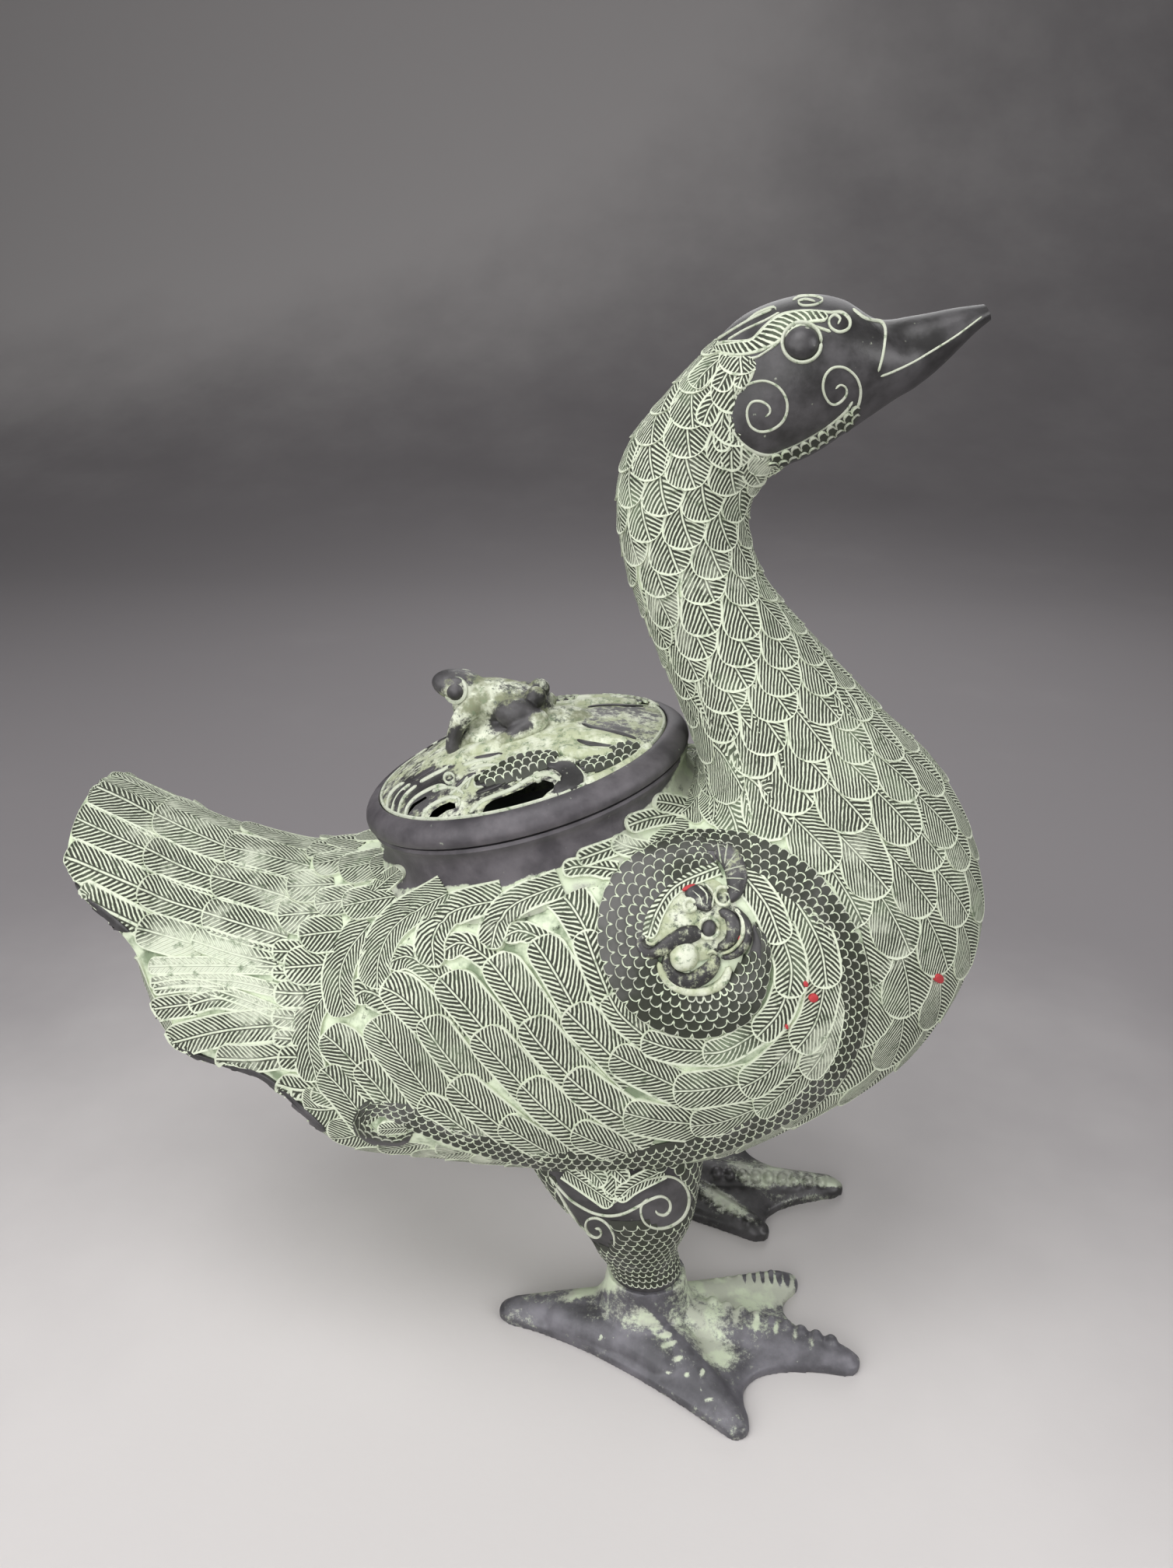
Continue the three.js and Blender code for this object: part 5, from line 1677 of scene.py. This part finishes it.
def plate_dressing(side, surface):
    lines, base, scales = Patches(), Patches(), Patches()
    for line in PLATE_LINES:
        ridge(lines, surface, line, lift=0.15, dome=0.5, spacing=2.5)
    for centre, radius, half in PLATE_RINGS:
        ridge(lines, surface, circle_line(centre, radius, half), lift=0.2, dome=0.6)
    lines.build(f"{side}_plate_lines", LINE, "lid", "lid_bronze")
    leaves = Patches()
    for line in PLATE_LEAVES:
        ridge(leaves, surface, line, lift=0.1, dome=1.6, columns=9, tint=0.05)
    leaves.build(f"{side}_plate_leaves", POWDER, "lid", "lid_bronze")
    for line in PLATE_DRAGON:
        band(base, scales, surface, line, 0.8, 12, lift=0.2)
    for line in PLATE_STROKES:
        ridge(base, surface, line, lift=0.25, dome=0.3)
    ridge(base, surface, PLATE_HOOK, lift=0.4, dome=0.4, columns=9)
    base.build(f"{side}_plate_dragon", DARK, "lid", "lid_bronze")
    scales.build(f"{side}_plate_scales", SCALE, "lid", "lid_bronze")


collar_and_ring()
for side, surface in plate().items():
    plate_dressing(side, surface)
border = make_object("plate_border", *looped_rings(around_lid(lambda _: PLATE_BORDER)), LINE, "lid")


# The frog

def egg_rings(centre, radii, tilt=0.0, rows=18, around=28):
    """An egg in the lid's frame, tipped about the side-to-side axis."""
    angle = np.linspace(0.03, math.pi - 0.03, rows)
    turn = turns(around)
    x = np.cos(angle)[:, None] * np.ones(around)
    y = np.sin(angle)[:, None] * np.cos(turn)
    z = np.sin(angle)[:, None] * np.sin(turn)
    x, y, z = x * radii[0], y * radii[1], z * radii[2]
    cosine, sine = cos_sin(tilt)
    ahead, lift = x * cosine + z * sine, z * cosine - x * sine
    return np.stack([ahead + centre[0], y + centre[1], lift + centre[2]], axis=2)


def limb_rings(points, flat=1.0):
    """A round limb through points, each with its radius. flat squeezes it from top to bottom."""
    points = np.asarray(points, float)
    line = catmull(points, np.linspace(0, len(points) - 1, 8 * (len(points) - 1) + 1))
    heading = unit(np.gradient(line[:, :3], axis=0))
    upright = np.where(np.abs(heading[:, 2:]) > 0.9, [[1.0, 0.0, 0.0]], [[0.0, 0.0, 1.0]])
    side = unit(np.cross(heading, upright))
    top = np.cross(side, heading)
    turn = turns(20)
    circle = side[:, None] * np.cos(turn)[:, None] + top[:, None] * np.sin(turn)[:, None] * flat
    body = line[:, None, :3] + circle * line[:, None, 3:]
    caps = []
    for end, sign in ((0, -1), (-1, 1)):
        for share in (0.5, 0.85):
            ahead = heading[end] * sign * line[end, 3] * math.sin(share * math.pi / 2)
            caps.append(line[end, :3] + ahead + circle[end] * line[end, 3] * math.cos(share * math.pi / 2))
    return np.concatenate([[caps[1], caps[0]], body, [caps[2], caps[3]]])


def fused(name, solids, pixel, smoothing, finish, body):
    """One smooth skin round overlapping solids, each a stack of rings in the drawing's millimetres."""
    points, faces = joined([closed_rings(rings) for rings in solids])
    piece = make_object(name, points, faces, finish, body)
    face_outwards(piece)
    step = piece.modifiers.new("fuse", "REMESH")
    step.mode, step.voxel_size = "VOXEL", pixel * MM
    step = piece.modifiers.new("soften", "SMOOTH")
    step.factor, step.iterations = 0.5, smoothing
    evaluated(piece)
    return piece


# The left eye's place and the way it looks in the lid's frame, and the radii and heights of its profile
FROG_EYE_AT, FROG_EYE_OUT = (-14.5, 5.2, 37), (-0.25, 0.9, 0.35)
FROG_EYE_PROFILE = [(0.2, -1.5), (3.3, -1.5), (3.3, 0.6), (3.0, 1.5), (2.2, 2.3), (1.0, 2.8), (0.2, 2.9)]
FROG_EYELID = [(3.4, -0.5), (4.8, -0.5), (4.7, 0.5), (4.1, 0.9), (3.4, 0.5)]
FROG_SHARP = 60
# Where the frog's powder gives way to dark bronze, or lies thicker, in photo pixels
FROG_DARKNESS = 0.32
FROG_TONES = [
    ((575, 868), (34, 11), 8, 0.5), ((560, 882), (10, 16), 0, 0.4), ((658, 924), (27, 17), -8, 0.9),
    ((690, 902), (16, 12), 30, 0.7), ((585, 955), (12, 26), 15, 0.7), ((620, 890), (18, 16), 40, -0.25),
    ((612, 935), (16, 26), 0, -0.45), ((607, 928), (9, 12), 0, 0.3), ((696, 925), (14, 16), 0, -0.4),
    ((640, 962), (50, 10), 0, -0.5), ((610, 905), (14, 12), 0, -0.3), ((645, 895), (20, 8), 20, 0.12),
]


def frog_solids():
    """The frog's body, head, base and limbs in the lid's frame, as overlapping stacks of rings."""
    solids = [
        egg_rings((0, 0, 27.5), (17, 9, 8), 26),
        egg_rings((-14, 0, 37), (10, 7.2, 5.4), 24),
        egg_rings((-12, 0, 29), (7, 6, 10), 10),
        egg_rings((-2, 0, 19), (20, 12, 5.5)),
        egg_rings((-16, 0, 18.5), (9, 9, 3.5)),
        egg_rings((16, 0, 18.5), (13, 8, 3.6), 16),
    ]
    for side in (-1, 1):
        solids += [
            egg_rings((4.5, side * 9, 25.5), (7.5, 5, 5.6), 20),
            egg_rings((11.5, side * 4.5, 28.6), (3.6, 3.2, 3.6), 20),
            egg_rings((-14.2, side * 5.0, 37.4), (4.4, 2.2, 4.2), 10),
            limb_rings([(-9, side * 5, 31, 4.2), (-15, side * 8, 27.5, 3.2), (-19, side * 9.3, 22, 2.6),
                        (-20.5, side * 9.5, 18, 2.6)]),
            limb_rings([(-19, side * 9, 17, 2.0), (-24, side * 9.5, 15.2, 1.4)], 0.7),
            limb_rings([(-19, side * 9, 17, 2.0), (-22.5, side * 13, 15, 1.3)], 0.7),
            limb_rings([(11, side * 10, 22, 4), (4, side * 14, 20, 3.2), (-5, side * 15, 17.6, 2.6)]),
            limb_rings([(-4, side * 15, 17, 2.0), (-10, side * 16.5, 15.5, 1.4)], 0.7),
            limb_rings([(-4, side * 15, 17, 2.0), (-8, side * 19.5, 14.2, 1.3)], 0.7),
        ]
    return solids


def frog():
    piece = fused("frog", [from_lid(rings) for rings in frog_solids()], 0.55, 5, MOTTLED, "lid")
    set_mark(piece, "dark", FROG_DARKNESS + blots(mesh_points(piece), FROG_TONES))
    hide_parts("frog_knob")
    shade(piece, FROG_SHARP)
    for side, sign in SIDES.items():
        at = from_lid(np.array(FROG_EYE_AT) * [1, sign, 1])
        out = from_lid(np.array(FROG_EYE_OUT) * [1, sign, 1]) - MOUTH
        ball = closed_rings(circles(FROG_EYE_PROFILE, at, out, 32))
        eye = make_object(f"frog_{side}_eyeball", *ball, DARK, "lid")
        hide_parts(f"frog_{side}_eye")
        ring = looped_rings(np.swapaxes(circles(FROG_EYELID, at, out, 32), 0, 1))
        lid = make_object(f"frog_{side}_eyelid", *ring, LINE, "lid")


frog()


# Legs and feet, for the right side or mirrored for the left

# Up the leg: height, centre along X, centre out from the middle, and the half-widths along X and Y
LEG_ROWS = [
    (22, 27.5, 38, 13.5, 12), (31, 26, 38, 13, 11.8), (41, 23, 39, 15, 14), (58, 21.5, 41, 21.5, 19),
    (75, 17, 42, 28, 23.5), (90, 14, 41, 32, 24), (104, 14, 38, 30, 19),
]
LEG_LINES = [
    [(706, 1512, 2), (718, 1526, 2), (732, 1541, 2), (748, 1552, 2.2), (765, 1560, 2.2), (784, 1563, 2.4),
     (802, 1560, 2.6), (820, 1551, 2.6), (836, 1542, 2.6), (850, 1538, 2.6), (860, 1544, 2.6),
     (861, 1555, 2.6), (854, 1562, 2.6), (845, 1560, 2.4), (843, 1556, 2)],
    [(768, 1549, 2), (786, 1547, 2.2), (803, 1536, 2.4), (822, 1521, 2.4), (842, 1514, 2.6), (862, 1513, 2.6),
     (877, 1521, 2.6), (885, 1536, 2.6), (884, 1553, 2.6), (876, 1567, 2.6), (860, 1577, 2.6),
     (844, 1579, 2.6), (830, 1573, 2.4), (824, 1561, 2.4), (825, 1549, 2.4), (833, 1541, 2.2)],
    [(790, 1602, 2), (789, 1588, 2.2), (781, 1574, 2.2), (768, 1566, 2.2), (756, 1568, 2.2), (753, 1577, 2.2),
     (758, 1587, 2.2), (767, 1591, 2.2), (773, 1587, 2), (771, 1580, 2), (765, 1579, 1.8)],
    [(708, 1516, 1.8), (720, 1536, 1.8), (732, 1556, 1.8), (745, 1576, 1.8), (758, 1598, 1.8)],
]
LEG_HATCH = [
    ([(793, 1541), (792, 1522), (790, 1500)], (18, 18)),
    ([(789, 1546), (766, 1530), (728, 1504)], (8, 13)),
    ([(793, 1541), (812, 1525), (852, 1505)], (11, 12)),
    ([(777, 1524), (768, 1512), (752, 1500)], (12, 13)),
    ([(806, 1519), (798, 1510), (786, 1500)], (11, 9)),
]
LEG_SCALES = 36  # round the leg
LEG_SCALE_PITCH = 3.3
LEG_SCALE_LOW, LEG_SCALE_HIGH = 29.3, 92
# The part of the thigh without scales
LEG_SMOOTH = [
    (700, 1490), (716, 1530), (740, 1585), (752, 1602), (790, 1604), (790, 1576), (825, 1572), (842, 1582),
    (870, 1576), (890, 1555), (888, 1520), (870, 1500),
]


LEG_TURNS = np.linspace(0, len(LEG_ROWS) - 1, 61)
LEG_SHAPE = catmull(LEG_ROWS, LEG_TURNS)


def leg_shape(heights):
    """Rows of the leg's shape at heights."""
    places = np.interp(heights, LEG_SHAPE[:, 0], LEG_TURNS)
    return catmull(LEG_ROWS, places.reshape(-1)).reshape(heights.shape + (5,))


def leg_at(shape, angle, sign):
    """Points and ways out at angles round the leg, for rows of the leg's shape."""
    height, x, y, along_x, along_y = np.moveaxis(shape, -1, 0)
    cosine, sine, level = np.cos(angle), np.sin(angle), height + 0 * angle
    points = np.stack([x + along_x * cosine, sign * (y + along_y * sine), level], axis=-1)
    out = np.stack([cosine / along_x, sign * sine / along_y, 0 * level], axis=-1)
    return points, unit(out)


def leg(side):
    sign = SIDES[side]
    points, faces = closed_rings(leg_at(LEG_SHAPE[:, None], turns(96)[None], sign)[0])
    marks = {"pale": LEG_PALENESS + blots(points, LEG_PALE)}
    piece = make_object(f"{side}_leg_casting", points, faces, LEG_FINISH, marks=marks)
    face_outwards(piece)
    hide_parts(f"{side}_leg")
    near = points * [1, -sign, 1]
    surface = photo_surface(BVHTree.FromPolygons(near.tolist(), faces), sign)
    lines, hatch = Patches(), Patches()
    for line in LEG_LINES:
        ridge(lines, surface, line, lift=0.15, dome=0.4, spacing=2.5, thin=0.62)
    lines.build(f"{side}_leg_lines", LINE, slot="foot_bronze")
    for drawn, widths in LEG_HATCH:
        drawn_feather(hatch, surface, drawn, widths, lift=(0.1, 0.6), fineness=1.2)
    hatch.build(f"{side}_leg_feathers", FEATHER, slot="foot_bronze")
    leg_scales(side)


def leg_scales(side):
    scales = Patches()
    for step, low in enumerate(np.arange(LEG_SCALE_LOW, LEG_SCALE_HIGH, LEG_SCALE_PITCH)):
        shape = leg_shape(np.array([low]))[0]
        girth = 2 * math.pi * math.sqrt((shape[3] ** 2 + shape[4] ** 2) / 2)
        for k in range(LEG_SCALES):
            turn = (k + 0.5 * (step % 2)) / LEG_SCALES * 2 * math.pi

            def place(along, across, low=low, turn=turn, girth=girth):
                angle = turn + across / girth * 2 * math.pi
                return leg_at(leg_shape(low + along), angle, SIDES[side])

            centre, _ = place(np.array([2.0]), np.array([0.0]))
            if on_outline(centre, LEG_SMOOTH, 0)[0]:
                continue
            half = girth / LEG_SCALES / 2
            plume(scales, place, (half, half), 5.2, 3, few=True, lift=(0.02, 0.4), dome=0.15, rim=0.15)
    scales.build(f"{side}_leg_scales", SCALE, slot="foot_bronze")


ANKLE = np.array([27, 38])
# Each foot's toes, going round it: the tip's place along X and out from the middle, and its radius
TOES = {
    "right": {"hind": (-24, 40, 5.5), "inner": (81, 14.5, 5.5), "middle": (102, 49.5, 5.3),
              "outer": (61.5, 80.5, 5.2)},
    "left": {"hind": (-18, 44, 5.5), "inner": (71, 13.5, 5), "middle": (104, 43.5, 5),
             "outer": (61.5, 80.5, 5.2)},
}
# Where the web's edge bends on its way from each toe to the next
WEB_BENDS = {
    "right": {"hind": (26, 24), "inner": (70, 35), "middle": (56, 52), "outer": (10, 51)},
    "left": {"hind": (26, 25), "inner": (73, 29), "middle": (58, 50), "outer": (14, 53)},
}
TIP_TURNS, TIP_SIDE = (-30, -10, 10, 30, 55), 80  # degrees round a toe's tip, where the outline follows it
WEB_THICKNESS = 3.5
MOUND_RISE, MOUND_REACH = 5.5, 13
# Along each toe from the ankle: the share of its length, the height of its middle and its radius
TOE_ROLLS = {
    "hind": [(0, 7, 9.5), (0.5, 4, 8), (0.98, 2, 5.5)],
    "inner": [(0, 7, 9), (0.5, 4, 6.5), (0.97, 2, 5.5)],
    "middle": [(0, 7, 10), (0.5, 4, 8), (0.98, 2.2, 5.3)],
    "outer": [(0, 7, 10), (0.5, 3.5, 8), (0.97, 2, 5)],
}
FLANK_ROLL = [(-6, 42, 3, 7.5), (10, 46.5, 3.5, 8.8), (24, 51, 3.5, 9), (37, 59, 3, 8.4)]
INSTEP = [(0.5, 0.5), (20.5, 0.5), (21.5, 5), (19.5, 9.5), (17.0, 14), (15.4, 18), (14.8, 23), (14.2, 27),
          (0.5, 27)]
INSTEP_STRETCH = (1.04, 0.92, 1)
# The bumps along two toes of each foot: their first and last places, their count and their radius
KNUCKLES = {"middle": (0.34, 0.93, 9, 2.7), "inner": (0.5, 0.9, 6, 1.2)}
# Where the pale powder lies on the legs and feet, in photo pixels
LEG_PALENESS, FOOT_PALENESS, FAR_PALENESS = 0.02, 0.18, 0.16
LEG_PALE = [((845, 1630), (60, 24), 0, 0.28), ((862, 1600), (20, 40), 0, 0.1)]
FOOT_STRIPES = (957, 969, 980, 991, 1001)
FOOT_PALE = [
    ((784, 1642), (20, 12), 55, 0.9), ((750, 1660), (26, 7), -20, 0.8), ((700, 1658), (18, 4), -8, 0.5),
    ((800, 1690), (60, 18), 10, 0.2), ((834, 1698), (22, 12), 30, 0.4), ((910, 1715), (30, 24), 50, 0.42),
    ((926, 1745), (20, 12), 20, 0.4), ((890, 1690), (26, 20), 0, 0.2), ((858, 1716), (10, 3), -15, 0.7),
    ((861, 1728), (9, 3), -20, 0.6), ((872, 1746), (6, 3), -20, 0.6), ((903, 1764), (3, 8), 20, 0.6),
    ((859, 1765), (5, 3), 0, 0.7), ((883, 1768), (4, 4), 0, 0.7), ((912, 1799), (8, 3), 0, 0.5),
    ((946, 1692), (3, 12), 8, 0.4), ((972, 1700), (3, 12), 8, 0.5), ((998, 1708), (3, 10), 8, 0.4),
    ((1022, 1716), (3, 10), 8, 0.4), ((1044, 1726), (3, 9), 8, 0.3), ((960, 1700), (40, 8), 14, 0.2),
    ((730, 1700), (70, 10), 18, -0.3), ((860, 1770), (60, 12), 28, -0.3), ((1040, 1745), (50, 12), 10, -0.3),
    ((960, 1652), (66, 26), 4, 1.1), ((1026, 1650), (4, 14), 10, -0.7), ((888, 1737), (82, 3), 47, -1.0),
    ((1011, 1642), (2.8, 10), -8, -1.6), *[((x, 1641), (2.8, 12), -8, -1.6) for x in FOOT_STRIPES],
]
FAR_FOOT_PALE = [
    ((1000, 1515), (80, 26), 12, 0.4), ((1075, 1520), (16, 10), 0, 0.4), ((985, 1482), (90, 7), 8, -0.9),
    ((1040, 1530), (60, 5), 0, -0.5), ((940, 1525), (50, 8), 35, -0.8), ((930, 1545), (40, 12), 35, 0.5),
    ((960, 1580), (26, 8), 35, -0.5),
]
LEG_FINISH = bronze_finish("leg_bronze", specks=0.3, patches=0.6)
FOOT_FINISH = bronze_finish("foot_bronze", specks=0.6, patches=0.9, tones=(FOOT_DARK, FOOT_BRONZE),
                            roughness=(0.42, 0.6))
# The far foot's bronze is darker than the near foot's: painted shade, under its own olive powder
FAR_FOOT_SHADED_FINISH = bronze_finish("olive_foot_bronze_painted_shade", specks=0.4, patches=0.62)


def web_outline(side):
    """The web from above, going round with the toes."""
    toes = TOES[side]
    names = list(toes)

    def tip(name, turn):
        x, y, radius = toes[name]
        angle = math.atan2(y - ANKLE[1], x - ANKLE[0]) + math.radians(turn)
        return np.array([x + radius * math.cos(angle), y + radius * math.sin(angle)])

    outline = []
    for name, after in zip(names, names[1:] + names[:1]):
        outline.extend(tip(name, turn) for turn in (*TIP_TURNS, TIP_SIDE))
        start, bend, end = tip(name, TIP_SIDE), np.array(WEB_BENDS[side][name]), tip(after, -TIP_SIDE)
        for share in np.linspace(0, 1, 15)[1:]:
            outline.append(start * (1 - share) ** 2 + 2 * bend * share * (1 - share) + end * share**2)
    return np.array(outline)


def web_rings(side):
    """The web, swelling from its edge up to the ankle."""
    outline = web_outline(side)
    rings = [np.column_stack([outline, np.zeros(len(outline))])]
    for share in (1, 0.92, 0.8, 0.62, 0.42, 0.2):
        at = ANKLE + (outline - ANKLE) * share
        inwards = np.linalg.norm(outline - ANKLE, axis=1) * (1 - share)
        rings.append(np.column_stack([at, WEB_THICKNESS + MOUND_RISE * (1 - np.exp(-inwards / MOUND_REACH))]))
    return rings


def knuckles(toe, roll, start, stop, count, radius):
    """Small bumps along the upper inner side of a toe, between two shares of its length."""
    solids = []
    for share in np.linspace(start, stop, count):
        height, half = (float(np.interp(share, *np.array(roll)[:, [0, k]].T)) for k in (1, 2))
        x, y = ANKLE + (toe - ANKLE) * share
        at = (x, y - half * 0.5, height + half * 0.8)
        solids.append(egg_rings(at, (radius * 0.95, radius * 1.2, radius), rows=10, around=16))
    return solids


def foot_solids(side):
    """The web, its rolls, the toes with their bumps and the instep, as overlapping stacks of rings."""
    solids = [web_rings(side), limb_rings(FLANK_ROLL)]
    toes = {name: np.array(tip[:2]) for name, tip in TOES[side].items()}
    for name, tip in toes.items():
        solids.append(limb_rings([(*(ANKLE + (tip - ANKLE) * share), height, radius)
                                  for share, height, radius in TOE_ROLLS[name]]))
    for name, shape in KNUCKLES.items():
        solids += knuckles(toes[name], TOE_ROLLS[name], *shape)
    foot_of = np.array([*ANKLE, 0.0])
    cone = circles(INSTEP, foot_of, UP, 48)
    solids.append(foot_of + (cone - foot_of) * INSTEP_STRETCH)
    return [np.array(rings) * [1, SIDES[side], 1] for rings in solids]


def foot(side):
    # The far foot takes the darker finish, which paints shade on it
    finish = FOOT_FINISH if side == "right" else FAR_FOOT_SHADED_FINISH
    piece = fused(f"{side}_foot_casting", foot_solids(side), 0.75, 3, finish, "duck")
    points = mesh_points(piece)
    points[:, 2] = np.maximum(points[:, 2], 0)
    set_points(piece, points)
    if side == "right":
        set_mark(piece, "pale", FOOT_PALENESS + blots(points, FOOT_PALE))
    else:
        set_mark(piece, "pale", FAR_PALENESS + blots(points, FAR_FOOT_PALE, mirrored=False))
    shade(piece, 50)
    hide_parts(f"{side}_foot")


for side in SIDES:
    leg(side)
    foot(side)

# A finish for any casting that stays as it is
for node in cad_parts.values():
    node.data.materials.clear()
    node.data.materials.append(DARK)


# Stage

# Sizes of the backdrop are in metres
# The backdrop's colour inside its painted pools of light and outside them
FLOOR_IN_PAINTED_LIGHT = srgb(200, 196, 195)
FLOOR_OUT_OF_PAINTED_LIGHT = srgb(130, 126, 128)
STAGE_WIDTH, STAGE_FRONT, STAGE_TOP = 4.0, -3.0, 3.0
CURVE_START, CURVE_RADIUS = 1.2, 1.5
# Painted pools of light on the backdrop: the middle and the reach in the drawing's millimetres, and the
# strength
PAINTED_LIGHT_POOLS = [((-40, -210, 0), 740, 1.0), ((-1500, 2700, 1700), 2300, 3.0), ((300, 2700, 900), 2000, 0.45)]
# Name, place and size in metres, and power in watts
LIGHTS = [
    ("top_light", (-0.25, -0.35, 1.35), 0.9, 11),
    ("front_light", (-0.35, -1.25, 0.55), 1.0, 11),
    ("left_light", (-1.2, -0.7, 0.75), 0.8, 7),
    ("right_light", (1.1, -0.45, 0.8), 0.7, 8),
    ("back_light", (0.1, 1.1, 0.9), 0.9, 5),
]
LIGHTS_TARGET = Vector((0, 0, 0.15))
ROOM_COLOUR, ROOM_STRENGTH = srgb(150, 150, 152), 0.42


def backdrop():
    """A floor that curves up into a wall behind the duck, with pools of light painted on it, brightest in
    front of it and at the upper left.
    """
    turns = np.linspace(0, math.pi / 2, 25)
    section = [(STAGE_FRONT, 0.0)]
    section += [(CURVE_START + CURVE_RADIUS * math.sin(a), CURVE_RADIUS * (1 - math.cos(a))) for a in turns]
    section.append((CURVE_START + CURVE_RADIUS, STAGE_TOP))
    mesh = bpy.data.meshes.new("backdrop")
    points = [(x, y, z) for y, z in section for x in (-STAGE_WIDTH, STAGE_WIDTH)]
    faces = [(2 * k, 2 * k + 1, 2 * k + 3, 2 * k + 2) for k in range(len(section) - 1)]
    mesh.from_pydata(points, [], faces)
    sheet = bpy.data.objects.new("backdrop", mesh)
    bpy.context.scene.collection.objects.link(sheet)
    shade(sheet, 60)
    f = Finish("backdrop_painted_light", roughness=0.75)
    share = f.math("MULTIPLY_ADD", f.noise(4, 5, 0.6), 0.5, -0.25)
    # Painted light: each pool brightens the backdrop towards its lit colour
    for middle, reach, strength in PAINTED_LIGHT_POOLS:
        share = f.math("MULTIPLY_ADD", f.near(middle, reach), strength, share)
    colour = f.mix(f.smooth(share, 0.0, 1.0), FLOOR_OUT_OF_PAINTED_LIGHT, FLOOR_IN_PAINTED_LIGHT)
    mesh.materials.append(f.done(colour, f.noise(300, 3), 0.05))


def lights():
    world = bpy.data.worlds.new("studio")
    world.use_nodes = True
    background = world.node_tree.nodes["Background"]
    background.inputs["Color"].default_value = ROOM_COLOUR
    background.inputs["Strength"].default_value = ROOM_STRENGTH
    bpy.context.scene.world = world
    for name, at, size, power in LIGHTS:
        data = bpy.data.lights.new(name, "AREA")
        data.size, data.energy = size, power
        light = bpy.data.objects.new(name, data)
        light.location = at
        light.rotation_euler = (LIGHTS_TARGET - Vector(at)).to_track_quat("-Z", "Y").to_euler()
        bpy.context.scene.collection.objects.link(light)


def camera():
    """The photo's camera, set back where the frame has its zero."""
    data = bpy.data.cameras.new("camera")
    data.sensor_width = SENSOR
    data.lens = SENSOR * PHOTO_FOCAL / PHOTO_LONG_SIDE
    data.clip_start = 0.01
    eye = bpy.data.objects.new("camera", data)
    eye.location = in_frame(CAMERA_EYE)
    eye.rotation_euler = Vector(-CAMERA_BACK).to_track_quat("-Z", "Y").to_euler()
    bpy.context.scene.collection.objects.link(eye)
    bpy.context.scene.camera = eye


backdrop()
lights()
camera()
bpy.context.scene.view_settings.view_transform = "Standard"
